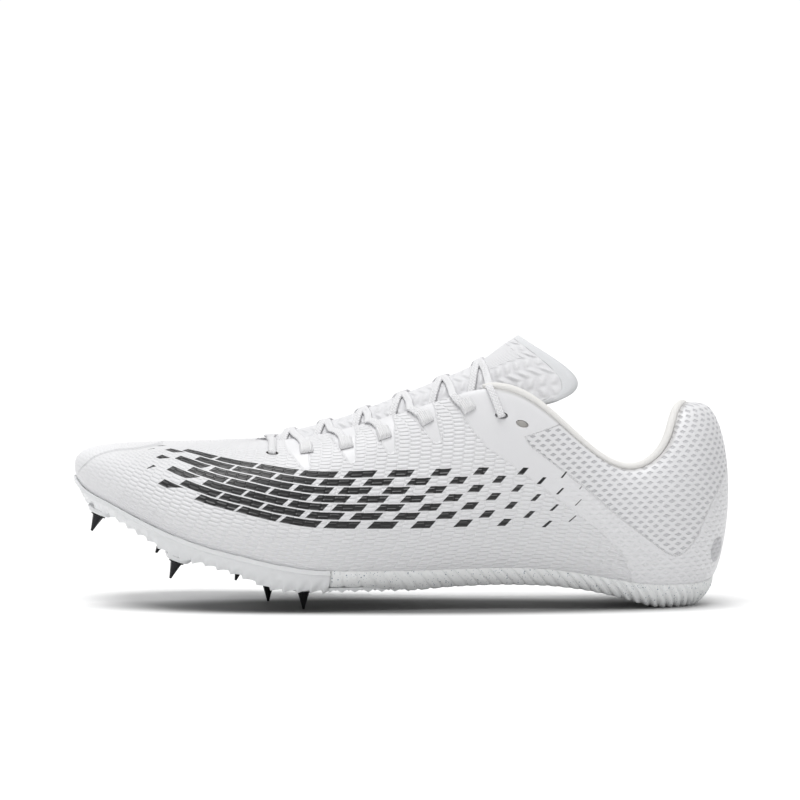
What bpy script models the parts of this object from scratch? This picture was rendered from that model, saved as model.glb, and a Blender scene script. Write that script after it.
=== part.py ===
"""Track spike shoe: one left sprint shoe, modelled as separate solids.

The toe points to -X, the outer (lateral) side to -Y, and the floor is Z = 0.
Every form is worked out from the last: the seam line where upper and sole meet,
the rim line of throat and collar, and the wall's profile between the two.
"""
import math

import bmesh
import bpy
import numpy as np
from mathutils import Vector
from mathutils.bvhtree import BVHTree

# Driving sizes of the last, in metres
LENGTH = 0.2885
BALL_WIDTH = 0.094
HEEL_WIDTH = 0.062
THROAT_WIDTH = 0.046
COLLAR_WIDTH = 0.054
INSTEP_HEIGHT = 0.0970
HEEL_HEIGHT = 0.0880
TOE_SPRING = 0.050
SOLE_STACK = 0.0100
HEEL_BULGE = 0.0073

# Driving sizes of the pieces, in metres
WALL = 0.0016
OVERLAY_STEP = 0.0006
FIT = 0.0003
BINDING_WIDTH = 0.0042
BINDING_HEIGHT = 0.0032
INSOLE_THICKNESS = 0.0030
PLATE_LIP = 0.0013
FOAM_LIP = 0.0006
TAIL_THICKNESS = 0.0016
TOOTH_DEPTH = 0.0014
TOOTH_PITCH = 0.0040
RIB_DEPTH = 0.0008
RIB_PITCH = 0.0057
RIB_LEAN = 0.0050
RIB_FADE = 0.0280
BOSS_RADIUS = 0.0052
BOSS_DROP = 0.0016
SPIKE_RADIUS = 0.0033
SPIKE_LENGTH = 0.0079
SPIKE_FLANGE = 0.0012
SPIKE_TIP = 0.0009
TONGUE_THICKNESS = 0.0036
TONGUE_TURN = 80
TONGUE_LOBE = 0.62
TONGUE_SECTIONS = 14
SLOT_LENGTH = 0.0056
SLOT_WIDTH = 0.0030
LACE_WIDTH = 0.0048
LACE_THICKNESS = 0.0018
LACE_CLEARANCE = 0.0010
LACE_BELOW = 0.066
LACED_HOLES = 7
INSOLE_INSET = 0.0012
INSOLE_REST = 0.0006
PLATE_INSET = 0.0034
PLATE_RIM = 0.0022
PLATE_CURL = 0.0008
TAIL_WIDE = 0.98
TAIL_NARROW = 0.45
BOSS_ROOT = 0.0025
FOAM_INSET = 0.0050
ARCH_RISE = 0.0028

# The last: one row for each section, toe to heel
# along: seam point, share of the seam's length; width: the size its offsets are shares of
# outer, inner: seam offsets; top_*: the rim point above it; inner_drop, inner_back: how much
# lower and further back the inner rim lies; round: fullness of the profile
# sweep: how far the profile turns over
# bulge: share of HEEL_BULGE; sag: dip of the vamp
LAST_COLUMNS = ("along", "width", "outer", "inner",
                "top_along", "top_width", "top_outer", "top_inner", "top_size", "top",
                "inner_drop", "inner_back", "round", "sweep", "bulge", "sag")
LAST = (
    (0.000, BALL_WIDTH, 0.150, 0.150, 0.287, THROAT_WIDTH, 0.04, 0.04, INSTEP_HEIGHT, 0.742, 0.0, 0.0,
     4.2, 1.00, 0.15, 0.016),
    (0.010, BALL_WIDTH, 0.020, 0.265, 0.289, THROAT_WIDTH, -0.05, 0.12, INSTEP_HEIGHT, 0.742, 0.0, 0.0,
     4.1, 1.00, 0.16, 0.016),
    (0.035, BALL_WIDTH, -0.110, 0.345, 0.293, THROAT_WIDTH, -0.12, 0.19, INSTEP_HEIGHT, 0.741, 0.0, 0.0,
     3.8, 1.00, 0.18, 0.015),
    (0.080, BALL_WIDTH, -0.255, 0.430, 0.300, THROAT_WIDTH, -0.18, 0.24, INSTEP_HEIGHT, 0.740, 0.0, 0.0,
     3.3, 1.00, 0.20, 0.012),
    (0.135, BALL_WIDTH, -0.375, 0.487, 0.311, THROAT_WIDTH, -0.23, 0.28, INSTEP_HEIGHT, 0.740, 0.0, 0.0,
     2.8, 0.97, 0.24, 0.009),
    (0.205, BALL_WIDTH, -0.466, 0.494, 0.329, THROAT_WIDTH, -0.27, 0.31, INSTEP_HEIGHT, 0.744, 0.0, 0.0,
     2.5, 0.92, 0.28, 0.006),
    (0.295, BALL_WIDTH, -0.496, 0.474, 0.361, THROAT_WIDTH, -0.32, 0.34, INSTEP_HEIGHT, 0.757, 0.0, 0.0,
     2.3, 0.86, 0.32, 0.003),
    (0.385, BALL_WIDTH, -0.470, 0.408, 0.417, THROAT_WIDTH, -0.38, 0.38, INSTEP_HEIGHT, 0.789, 0.0, 0.0,
     2.2, 0.79, 0.34, 0.0),
    (0.475, BALL_WIDTH, -0.408, 0.340, 0.487, THROAT_WIDTH, -0.44, 0.42, INSTEP_HEIGHT, 0.847, 0.0, 0.0,
     2.2, 0.74, 0.36, 0.0),
    (0.565, BALL_WIDTH, -0.360, 0.288, 0.561, THROAT_WIDTH, -0.49, 0.47, INSTEP_HEIGHT, 0.914, 0.0, 0.0,
     2.2, 0.70, 0.42, 0.0),
    (0.655, HEEL_WIDTH, -0.508, 0.420, 0.647, THROAT_WIDTH, -0.53, 0.52, INSTEP_HEIGHT, 0.978, 0.015, 0.0,
     2.2, 0.68, 0.46, 0.0),
    (0.745, HEEL_WIDTH, -0.500, 0.450, 0.727, COLLAR_WIDTH, -0.49, 0.48, INSTEP_HEIGHT, 0.897, 0.030, 0.0,
     2.3, 0.70, 0.48, 0.0),
    (0.830, HEEL_WIDTH, -0.508, 0.492, 0.809, COLLAR_WIDTH, -0.50, 0.50, HEEL_HEIGHT, 0.765, 0.037, 0.004,
     2.6, 0.74, 0.48, 0.0),
    (0.905, HEEL_WIDTH, -0.484, 0.484, 0.880, COLLAR_WIDTH, -0.48, 0.48, HEEL_HEIGHT, 0.688, 0.040, 0.010,
     3.0, 0.80, 0.56, 0.0),
    (0.955, HEEL_WIDTH, -0.382, 0.385, 0.926, COLLAR_WIDTH, -0.40, 0.40, HEEL_HEIGHT, 0.805, 0.040, 0.014,
     3.8, 0.90, 0.72, 0.0),
    (0.988, HEEL_WIDTH, -0.210, 0.210, 0.945, COLLAR_WIDTH, -0.23, 0.23, HEEL_HEIGHT, 0.962, 0.015, 0.008,
     5.0, 0.97, 0.92, 0.0),
    (1.000, HEEL_WIDTH, 0.0, 0.0, 0.960, COLLAR_WIDTH, 0.0, 0.0, HEEL_HEIGHT, 1.000, 0.0, 0.0,
     6.0, 1.00, 1.00, 0.0),
)

# The sole from the side: clearance is a share of TOE_SPRING, stack a share of SOLE_STACK
SOLE_COLUMNS = ("along", "clearance", "stack")
SOLE = (
    (0.000, 0.985, 0.55),
    (0.020, 0.868, 0.68),
    (0.065, 0.752, 0.72),
    (0.130, 0.556, 0.89),
    (0.170, 0.450, 0.97),
    (0.220, 0.368, 0.92),
    (0.270, 0.284, 0.99),
    (0.325, 0.180, 1.14),
    (0.385, 0.172, 0.92),
    (0.450, 0.168, 0.87),
    (0.520, 0.164, 0.87),
    (0.600, 0.192, 0.78),
    (0.670, 0.204, 0.76),
    (0.730, 0.196, 0.75),
    (0.790, 0.162, 0.72),
    (0.850, 0.092, 0.78),
    (0.890, 0.028, 0.93),
    (0.920, 0.000, 1.03),
    (0.965, 0.000, 1.01),
    (0.985, 0.050, 0.80),
    (1.000, 0.150, 0.43),
)

# The tongue: one row for each section, throat to tip
# along, ridge: the crest; half: shares of THROAT_WIDTH to either edge
# fall: drop from crest to edge, share of INSTEP_HEIGHT; back: how far the side trails
TONGUE_COLUMNS = ("along", "ridge", "half", "fall", "back")
TONGUE = (
    (0.262, 0.690, 0.30, 0.049, 0.000),
    (0.290, 0.705, 0.33, 0.067, 0.004),
    (0.325, 0.765, 0.35, 0.124, 0.008),
    (0.375, 0.802, 0.39, 0.161, 0.012),
    (0.430, 0.848, 0.42, 0.191, 0.018),
    (0.500, 0.926, 0.45, 0.235, 0.026),
    (0.565, 1.000, 0.47, 0.262, 0.038),
    (0.630, 1.081, 0.47, 0.272, 0.055),
    (0.672, 1.165, 0.475, 0.275, 0.095),
    (0.700, 1.217, 0.465, 0.285, 0.152),
)

# Lace holes: along the last, and below the outer and inner rim as shares of INSTEP_HEIGHT
EYELET_COLUMNS = ("along", "outer_below", "inner_below")
EYELETS = (
    (0.315, 0.190, 0.190),
    (0.368, 0.140, 0.140),
    (0.426, 0.120, 0.120),
    (0.488, 0.095, 0.095),
    (0.550, 0.066, 0.066),
    (0.617, 0.066, 0.066),
    (0.669, 0.125, 0.125),
    (0.698, 0.140, 0.118),
)

# Spikes: along the seam, across as a share of BALL_WIDTH, and whether it stands on the floor
SPIKE_COLUMNS = ("name", "along", "across", "stands")
SPIKES = (
    ("spike_outer_1", 0.0415, -0.015, False),
    ("spike_outer_2", 0.1700, -0.320, False),
    ("spike_outer_3", 0.3630, -0.330, True),
    ("spike_centre", 0.3040, 0.020, True),
    ("spike_inner_1", 0.0370, 0.270, False),
    ("spike_inner_2", 0.1350, 0.370, False),
    ("spike_inner_3", 0.2570, 0.370, False),
)

FOAM_FRONT = 0.405
TAIL_END = 0.690
BINDING_START = 9.9
UPPER_STATIONS = 72
UPPER_ROWS = (0.0, 0.05, 0.12, 0.20, 0.29, 0.39, 0.50, 0.61, 0.71, 0.80, 0.87, 0.885, 0.94, 1.0)
EYESTAY_ROW = 0.88
EYESTAY_BACK = 11.0
LAST_ROW = len(LAST) - 1
RING_ROWS = 2 * LAST_ROW

seam_start = -LENGTH / 2 + PLATE_LIP
seam_length = LENGTH - PLATE_LIP - HEEL_BULGE


def column(table, names, name):
    return np.array([row[names.index(name)] for row in table], dtype=float)


def place(along):
    """X of a share of the seam's length."""
    return seam_start + np.asarray(along) * seam_length


def monotone(xs, ys, at):
    """Smooth curve through a table that never overshoots it."""
    steps = np.diff(xs)
    slopes = np.diff(ys) / steps
    tangents = np.zeros(len(xs))
    tangents[0], tangents[-1] = slopes[0], slopes[-1]
    for i in range(1, len(xs) - 1):
        if slopes[i - 1] * slopes[i] > 0:
            tangents[i] = 2 * slopes[i - 1] * slopes[i] / (slopes[i - 1] + slopes[i])
    at = np.clip(at, xs[0], xs[-1])
    i = np.clip(np.searchsorted(xs, at) - 1, 0, len(xs) - 2)
    h = steps[i]
    t = (at - xs[i]) / h
    return (ys[i] * (1 + 2 * t) * (1 - t) ** 2 + ys[i + 1] * t * t * (3 - 2 * t)
            + h * tangents[i] * t * (1 - t) ** 2 - h * tangents[i + 1] * t * t * (1 - t))


class ClosedCurve:
    """Periodic cubic spline through rows of values, on knots along the seam."""

    def __init__(self, knots, period, values):
        self.knots = knots
        self.period = period
        self.values = values
        count = len(knots)
        gaps = np.diff(np.append(knots, period))
        matrix = np.zeros((count, count))
        right = np.zeros(values.shape)
        for i in range(count):
            before, after = (i - 1) % count, (i + 1) % count
            matrix[i, before] += gaps[before]
            matrix[i, i] += 2 * (gaps[before] + gaps[i])
            matrix[i, after] += gaps[i]
            right[i] = 6 * ((values[after] - values[i]) / gaps[i]
                            - (values[i] - values[before]) / gaps[before])
        self.gaps = gaps
        self.bends = np.linalg.solve(matrix, right)

    def at(self, knot):
        knot = knot % self.period
        i = int(np.searchsorted(self.knots, knot, side="right") - 1)
        after = (i + 1) % len(self.knots)
        gap = self.gaps[i]
        b = (knot - self.knots[i]) / gap
        a = 1 - b
        return (a * self.values[i] + b * self.values[after]
                + gap * gap / 6 * ((a ** 3 - a) * self.bends[i] + (b ** 3 - b) * self.bends[after]))


def ring_rows():
    """The rows of the last laid end to end: down the outer side, back up the inner side."""
    rows = []
    for side, order in (("outer", range(LAST_ROW + 1)), ("inner", range(LAST_ROW - 1, 0, -1))):
        for i in order:
            row = dict(zip(LAST_COLUMNS, LAST[i]))
            inner = side == "inner"
            drop = INSTEP_HEIGHT * row["inner_drop"] if inner else 0.0
            top_along = row["top_along"] + (row["inner_back"] if inner else 0.0)
            rows.append((
                place(row["along"]), row["width"] * row[side],
                place(top_along), row["top_width"] * row["top_" + side],
                row["top_size"] * row["top"] - drop, row["round"], row["sweep"],
                HEEL_BULGE * row["bulge"], INSTEP_HEIGHT * row["sag"]))
    return np.array(rows)


rows = ring_rows()
steps = np.linalg.norm(np.roll(rows[:, :2], -1, axis=0) - rows[:, :2], axis=1)
ring_knots = np.concatenate(([0.0], np.cumsum(steps)[:-1]))
ring_length = float(steps.sum())
ring = ClosedCurve(ring_knots, ring_length, rows)
SOLE_ALONG = place(column(SOLE, SOLE_COLUMNS, "along"))
SOLE_CLEARANCE = TOE_SPRING * column(SOLE, SOLE_COLUMNS, "clearance")
SOLE_SEAM = SOLE_CLEARANCE + SOLE_STACK * column(SOLE, SOLE_COLUMNS, "stack")


def underside(x):
    return monotone(SOLE_ALONG, SOLE_CLEARANCE, x)


def seam_height(x):
    return monotone(SOLE_ALONG, SOLE_SEAM, x)


def knot_of(station):
    """Distance along the seam of a station counted in rows of the last."""
    ends = np.append(ring_knots, ring_length)
    return float(np.interp(station, np.arange(RING_ROWS + 1), ends))


def seam_point(station, inset=0.0):
    """Seam point and outward direction, moved inwards by the inset."""
    knot = knot_of(station)
    reach = 0.0005
    here = ring.at(knot)[:2]
    ahead = ring.at(knot + reach)[:2] - ring.at(knot - reach)[:2]
    out = np.array((ahead[1], -ahead[0])) / np.linalg.norm(ahead)
    return here - out * inset, out


def wall_profile(station, shares):
    """Points of the upper's outer face from seam to rim, at shares of its length."""
    x, y, top_x, top_y, top_z, fullness, sweep, bulge, sag = ring.at(knot_of(station))
    out = seam_point(station)[1]
    low = float(seam_height(x))
    end = sweep * math.pi / 2
    power = 2 / fullness
    in_end = 1 - math.cos(end) ** power if sweep < 0.999 else 1.0
    up_end = math.sin(end) ** power
    even = np.linspace(0, 1, 90)
    from_up = np.arcsin(np.clip(even * up_end, 0, 1) ** (1 / power))
    from_in = np.arccos(np.clip(1 - even * in_end, 0, 1) ** (1 / power))
    turn = np.unique(np.clip(np.concatenate((from_up, from_in)), 0, end))
    inward = (1 - np.clip(np.cos(turn), 0, 1) ** power) / in_end
    upward = np.sin(turn) ** power / up_end
    swell = bulge * np.sin(math.pi * np.clip(upward, 0, 1)) ** 0.6
    dip = sag * np.sin(math.pi * np.clip(inward, 0, 1))
    points = np.stack((x + (top_x - x) * inward + out[0] * swell,
                       y + (top_y - y) * inward + out[1] * swell,
                       low + (top_z - low) * upward - dip), axis=1)
    length = np.concatenate(([0.0], np.cumsum(np.linalg.norm(np.diff(points, axis=0), axis=1))))
    wanted = np.asarray(shares) * length[-1]
    return np.stack([np.interp(wanted, length, points[:, k]) for k in range(3)], axis=1)


def material(name, colour, roughness, metallic=0.0):
    made = bpy.data.materials.new(name)
    made.use_nodes = True
    surface = made.node_tree.nodes["Principled BSDF"]
    surface.inputs["Base Color"].default_value = (*colour, 1)
    surface.inputs["Roughness"].default_value = roughness
    surface.inputs["Metallic"].default_value = metallic
    return made


def add_object(name, points, faces, finish, smooth=True):
    mesh = bpy.data.meshes.new(name)
    mesh.from_pydata([tuple(map(float, p)) for p in points], [], faces)
    shape = bmesh.new()
    shape.from_mesh(mesh)
    bmesh.ops.recalc_face_normals(shape, faces=shape.faces)
    shape.to_mesh(mesh)
    shape.free()
    made = bpy.data.objects.new(name, mesh)
    made.data.materials.append(finish)
    bpy.context.scene.collection.objects.link(made)
    if smooth:
        mesh.shade_smooth()
        mesh.set_sharp_from_angle(angle=math.radians(35))
    return made


def loft(name, sections, finish, smooth=True):
    """Closed solid through loops of equally many points, capped at both ends."""
    count = len(sections[0])
    points = [p for section in sections for p in section]
    faces = [tuple(range(count)), tuple(range(len(points) - count, len(points)))[::-1]]
    for s in range(len(sections) - 1):
        low, high = s * count, (s + 1) * count
        for i in range(count):
            k = (i + 1) % count
            faces.append((low + i, low + k, high + k, high + i))
    return add_object(name, points, faces, finish, smooth)


def as_cutter(made):
    made.hide_render = True
    made.display_type = "WIRE"
    return made


def boolean(target, operation, other):
    step = target.modifiers.new(operation.lower(), "BOOLEAN")
    step.operation = operation
    step.solver = "EXACT"
    step.object = other


def fold(station):
    """Station counted from the toe on whichever side it lies."""
    return min(station, RING_ROWS - station)


def station_at(share, side):
    """Station where the seam reaches a share of its length, on one side."""
    along = column(LAST, LAST_COLUMNS, "along")
    station = float(np.interp(share, along, np.arange(len(along))))
    return station if side == "outer" else RING_ROWS - station


def build_upper(finish):
    stations = [RING_ROWS * i / UPPER_STATIONS for i in range(UPPER_STATIONS)]
    grid = np.array([wall_profile(s, UPPER_ROWS) for s in stations])
    around = np.roll(grid, -1, axis=0) - np.roll(grid, 1, axis=0)
    upward = np.gradient(grid, axis=1)
    out = np.cross(around, upward)
    out /= np.linalg.norm(out, axis=2, keepdims=True)
    for i, station in enumerate(stations):
        for k, share in enumerate(UPPER_ROWS):
            if share > EYESTAY_ROW and fold(station) < EYESTAY_BACK:
                grid[i, k] += out[i, k] * OVERLAY_STEP
    rows_up = len(UPPER_ROWS)
    faces = []
    for i in range(UPPER_STATIONS):
        j = (i + 1) % UPPER_STATIONS
        for k in range(rows_up - 1):
            faces.append((i * rows_up + k, j * rows_up + k,
                          j * rows_up + k + 1, i * rows_up + k + 1))
    mesh = bpy.data.meshes.new("upper")
    mesh.from_pydata([tuple(map(float, p)) for p in grid.reshape(-1, 3)], [], faces)
    made = bpy.data.objects.new("upper", mesh)
    made.data.materials.append(finish)
    bpy.context.scene.collection.objects.link(made)
    mesh.shade_smooth()
    wall = made.modifiers.new("wall", "SOLIDIFY")
    wall.thickness = WALL
    wall.offset = -1
    wall.use_even_offset = True
    return made, ([Vector(p) for p in grid.reshape(-1, 3)], faces)


def rim_frame(station):
    """Rim point, direction along the rim, up the wall and out of it."""
    reach = 0.05
    here = wall_profile(station, (0.97, 1.0))
    along = wall_profile(station + reach, (1.0,))[0] - wall_profile(station - reach, (1.0,))[0]
    along /= np.linalg.norm(along)
    up = here[1] - here[0]
    up -= along * up.dot(along)
    up /= np.linalg.norm(up)
    return here[1], along, up, np.cross(along, up)


def eyelet_frame(share, below, side):
    """A lace hole's place on the outer face, with its own directions."""
    target = float(place(share))
    even = np.linspace(0, 1, 41)
    best = None
    for station in np.linspace(3.0, 12.0, 121):
        turned = station if side == "outer" else RING_ROWS - station
        profile = wall_profile(turned, even)
        length = np.linalg.norm(np.diff(profile, axis=0), axis=1).sum()
        depth = 1 - below / length
        point = wall_profile(turned, (depth,))[0]
        if best is None or abs(point[0] - target) < best[0]:
            best = (abs(point[0] - target), turned, depth)
    turned, depth = best[1:]
    reach = 0.02
    low, here, high = wall_profile(turned, (depth - reach, depth, depth + reach))
    along = (wall_profile(turned + 0.1, (depth,)) - wall_profile(turned - 0.1, (depth,)))[0]
    along /= np.linalg.norm(along)
    out = np.cross(along, high - low)
    out /= np.linalg.norm(out)
    return here, along, np.cross(out, along), out


def build_slots(frames):
    """Cutters for the lace holes, as one mesh of separate oval rods."""
    points, faces = [], []
    sides = 8
    for here, along, up, out in frames:
        start = len(points)
        for depth in (-2.5 * WALL, 2.5 * WALL):
            for k in range(sides):
                angle = 2 * math.pi * k / sides
                points.append(here + out * depth + along * SLOT_LENGTH / 2 * math.cos(angle)
                              + up * SLOT_WIDTH / 2 * math.sin(angle))
        faces.append(tuple(range(start, start + sides)))
        faces.append(tuple(range(start + 2 * sides - 1, start + sides - 1, -1)))
        for k in range(sides):
            n = (k + 1) % sides
            faces.append((start + k, start + sides + k, start + sides + n, start + n))
    return as_cutter(add_object("lace_hole_cutter", points, faces, material("cutter", (1, 0, 0), 1)))


def build_binding(finish):
    start, end = BINDING_START, RING_ROWS - BINDING_START
    first = math.ceil(start * UPPER_STATIONS / RING_ROWS)
    last = math.floor(end * UPPER_STATIONS / RING_ROWS)
    flat = math.cos(math.pi / 8)
    sections = []
    for i in range(first, last + 1):
        rim, along, up, out = rim_frame(RING_ROWS * i / UPPER_STATIONS)
        centre = rim - out * WALL / 2 + up * (2 * FIT + flat * BINDING_HEIGHT / 2)
        loop = []
        for k in range(8):
            angle = math.pi / 8 + k * math.pi / 4
            loop.append(centre + out * BINDING_WIDTH / 2 * math.cos(angle)
                        + up * BINDING_HEIGHT / 2 * math.sin(angle))
        sections.append(loop)
    return loft("collar_binding", sections, finish)


def tongue_loop(row):
    """One arched section of the tongue: outer face, then inner face."""
    along, ridge, half, fall, back = row
    turn = math.radians(TONGUE_TURN)
    sections = []
    for depth in (0.0, TONGUE_THICKNESS):
        arc = []
        for share in np.linspace(-1, 1, 11):
            angle = share * turn
            drop = (1 - math.cos(angle)) / (1 - math.cos(turn))
            reach = THROAT_WIDTH * half - depth
            arc.append((float(place(along)) + LENGTH * back * (drop - TONGUE_LOBE * drop ** 4),
                        reach * math.sin(angle) / math.sin(turn),
                        INSTEP_HEIGHT * (ridge - fall * drop) - depth * (1 - 0.7 * drop)))
        sections.append(arc)
    return sections[0] + sections[1][::-1]


def build_tongue(finish):
    """Padded tongue over the instep, through smooth sections along its crest."""
    shares = column(TONGUE, TONGUE_COLUMNS, "along")
    fine = np.linspace(shares[0], shares[-1], TONGUE_SECTIONS)
    table = np.stack([monotone(shares, column(TONGUE, TONGUE_COLUMNS, name), fine)
                      for name in TONGUE_COLUMNS], axis=1)
    return loft("tongue", [tongue_loop(row) for row in table], finish)


def arch(x):
    """Rise of the inner edge under the waist."""
    share = np.clip((x - float(place(0.42))) / (seam_length * 0.40), 0, 1)
    return ARCH_RISE * np.sin(math.pi * share) ** 2


def sole_bottom(x, across):
    """Underside height; across runs from -1 at the outer edge to 1 at the inner edge."""
    return float(underside(x) + arch(x) * max(0.0, across) ** 1.5)


def sole_edges(station, inset):
    outer = seam_point(station, inset)[0]
    inner = seam_point(RING_ROWS - station, inset)[0]
    return outer, inner


def between(outer, inner, across):
    return outer + (inner - outer) * (across + 1) / 2


def build_insole(finish):
    inset = WALL + INSOLE_INSET
    sections = []
    for station in np.linspace(0.3, LAST_ROW - 0.2, 32):
        outer, inner = sole_edges(station, inset)
        loop = []
        for rise, order in ((INSOLE_REST, (-1, 0, 1)), (INSOLE_REST + INSOLE_THICKNESS, (1, 0, -1))):
            for across in order:
                x, y = between(outer, inner, across)
                loop.append((x, y, float(seam_height(x)) + rise))
        sections.append(loop)
    return loft("insole", sections, finish)


def plate_section(station, tail=None):
    """One loop of the plate; tail is the half width of the thin strip behind it."""
    top_shares = (-1.0, 0.0, 1.0)
    bottom_shares = np.linspace(1, -1, 9)
    loop = []
    if tail is None:
        outer, inner = sole_edges(station, -PLATE_LIP)
        low_outer, low_inner = sole_edges(station, PLATE_INSET)
        for across in top_shares:
            x, y = between(outer, inner, across)
            loop.append((x, y, float(seam_height(x)) - FIT))
        for across, high, low in ((1, inner, low_inner), (-1, outer, low_outer)):
            x, y = high * 0.9 + low * 0.1
            side = (x, y, float(seam_height(high[0])) - FIT - PLATE_RIM)
            if across > 0:
                loop.append(side)
                for share in bottom_shares:
                    bx, by = between(low_outer, low_inner, share)
                    loop.append((bx, by, sole_bottom(bx, share) + TOOTH_DEPTH / 2
                                 + PLATE_CURL * share ** 4))
            else:
                loop.append(side)
        return loop
    outer, inner = sole_edges(station, PLATE_INSET)
    for across in top_shares:
        x, y = between(outer, inner, across * tail)
        loop.append((x, y, sole_bottom(x, across * tail) + TAIL_THICKNESS))
    x, y = between(outer, inner, tail)
    loop.append((x, y, sole_bottom(x, tail) + TAIL_THICKNESS * 0.6))
    for share in bottom_shares:
        x, y = between(outer, inner, share * tail)
        loop.append((x, y, sole_bottom(x, share * tail) + TOOTH_DEPTH / 2))
    x, y = between(outer, inner, -tail)
    loop.append((x, y, sole_bottom(x, -tail) + TAIL_THICKNESS * 0.6))
    return loop


def station_range(start, end, pitch):
    """Stations a pitch apart along the outer seam."""
    low, high = knot_of(start), knot_of(end)
    knots = np.linspace(low, high, max(2, round((high - low) / pitch)) + 1)
    return np.interp(knots, ring_knots[:LAST_ROW + 1], np.arange(LAST_ROW + 1))


def toothed(loop, row):
    """Push every second point of every second row of the underside down to a tooth."""
    points = list(loop)
    if row % 2 == 0:
        for k in range(5, 12, 2):
            x, y, z = points[k]
            points[k] = (x, y, z - TOOTH_DEPTH)
    return points


def spike_axis(x, stands):
    if stands:
        return Vector((0, 0, -1))
    reach = 0.004
    slope = float(underside(x + reach) - underside(x - reach)) / (2 * reach)
    return Vector((slope, 0, -1)).normalized()


def spike_seat(row):
    """Where a spike's flange meets its boss, and the way it points."""
    spike = dict(zip(SPIKE_COLUMNS, row))
    x = float(place(spike["along"]))
    way = spike_axis(x, spike["stands"])
    on_plate = Vector((x, BALL_WIDTH * spike["across"], float(underside(x))))
    if spike["stands"]:
        face = Vector((x, on_plate.y, SPIKE_LENGTH + FIT))
    else:
        face = on_plate + way * BOSS_DROP
    return face, way


def turned(centre, way, profile, sides):
    """Loops of a turned shape: profile holds distance along the way and radius."""
    side = way.cross(Vector((0, 1, 0))).normalized()
    other = way.cross(side)
    sections = []
    for distance, radius in profile:
        middle = centre + way * distance
        sections.append([middle + side * radius * math.cos(2 * math.pi * k / sides)
                         + other * radius * math.sin(2 * math.pi * k / sides)
                         for k in range(sides)])
    return sections


def build_plate(finish):
    front = station_range(0.45, station_at(FOAM_FRONT - 0.003, "outer"), TOOTH_PITCH)
    tail = station_range(station_at(FOAM_FRONT - 0.0025, "outer"),
                         station_at(TAIL_END, "outer"), TOOTH_PITCH)
    sections = [toothed(plate_section(s), i) for i, s in enumerate(front)]
    for i, s in enumerate(tail):
        width = TAIL_WIDE + (TAIL_NARROW - TAIL_WIDE) * (i / (len(tail) - 1)) ** 2
        sections.append(toothed(plate_section(s, width), i + 1))
    plate = loft("spike_plate", sections, finish, smooth=False)
    for row in SPIKES:
        face, way = spike_seat(row)
        height = BOSS_ROOT + (float(underside(face.x)) - face.z if row[-1] else BOSS_DROP)
        loops = turned(face, way, ((-height, BOSS_RADIUS), (0, BOSS_RADIUS * 0.88)), 10)
        boss = as_cutter(loft(row[0] + "_boss_cutter", loops, finish, smooth=False))
        boolean(plate, "UNION", boss)
    return plate


def build_spike(row, finish):
    face, way = spike_seat(row)
    profile = ((FIT, SPIKE_RADIUS), (SPIKE_FLANGE, SPIKE_RADIUS),
               (SPIKE_FLANGE + 0.0001, SPIKE_RADIUS * 0.72),
               (SPIKE_LENGTH * 0.45, SPIKE_RADIUS * 0.48),
               (SPIKE_LENGTH * 0.75, SPIKE_RADIUS * 0.34),
               (SPIKE_LENGTH + FIT, SPIKE_TIP))
    return loft(row[0], turned(face, way, profile, 8), finish, smooth=False)


def build_midsole(finish):
    """Foam with slanting ribs down its side, from behind the plate to the heel."""
    front = station_at(FOAM_FRONT, "outer")
    stations = station_range(front, LAST_ROW - 0.12, RIB_PITCH / 2)
    recess_end = float(place(TAIL_END + 0.006))
    shares = (0.26, 0.64, 1.0)
    sections = []
    for i, station in enumerate(stations):
        knot = knot_of(station)
        fade = min(1.0, (ring_knots[LAST_ROW] - knot) / RIB_FADE, (knot - knot_of(front)) / RIB_FADE)
        lift_for_tail = TAIL_THICKNESS + FIT
        groove = RIB_DEPTH if i % 2 else 0.0
        sides = {}
        for side in ("outer", "inner"):
            line = []
            for share in (0.0,) + shares:
                leaned = knot + RIB_LEAN * share * fade
                at = float(np.interp(leaned, ring_knots[:LAST_ROW + 1], np.arange(LAST_ROW + 1)))
                at = at if side == "outer" else RING_ROWS - at
                cut = groove if 0 < share < 1 else 0.0
                inset = -FOAM_LIP + (FOAM_INSET + FOAM_LIP) * share ** 2.4 + cut
                x, y = seam_point(at, inset)[0]
                edge_x = seam_point(at, FOAM_INSET)[0][0]
                high = float(seam_height(seam_point(at)[0][0])) - FIT
                low = sole_bottom(edge_x, 1.0 if side == "inner" else -1.0)
                if edge_x < recess_end:
                    low += lift_for_tail
                line.append((x, y, high + (low - high) * share))
            sides[side] = line
        outer, inner = sides["outer"], sides["inner"]
        loop = list(outer)
        for across in (-0.5, 0.0, 0.5):
            x, y = between(np.array(outer[-1][:2]), np.array(inner[-1][:2]), across)
            low = sole_bottom(x, across)
            if x < recess_end:
                low += lift_for_tail
            loop.append((x, y, low))
        loop += inner[::-1]
        x, y = between(np.array(outer[0][:2]), np.array(inner[0][:2]), 0.0)
        loop.append((x, y, float(seam_height(x)) - FIT))
        sections.append(loop)
    return loft("midsole", sections, finish)


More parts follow.
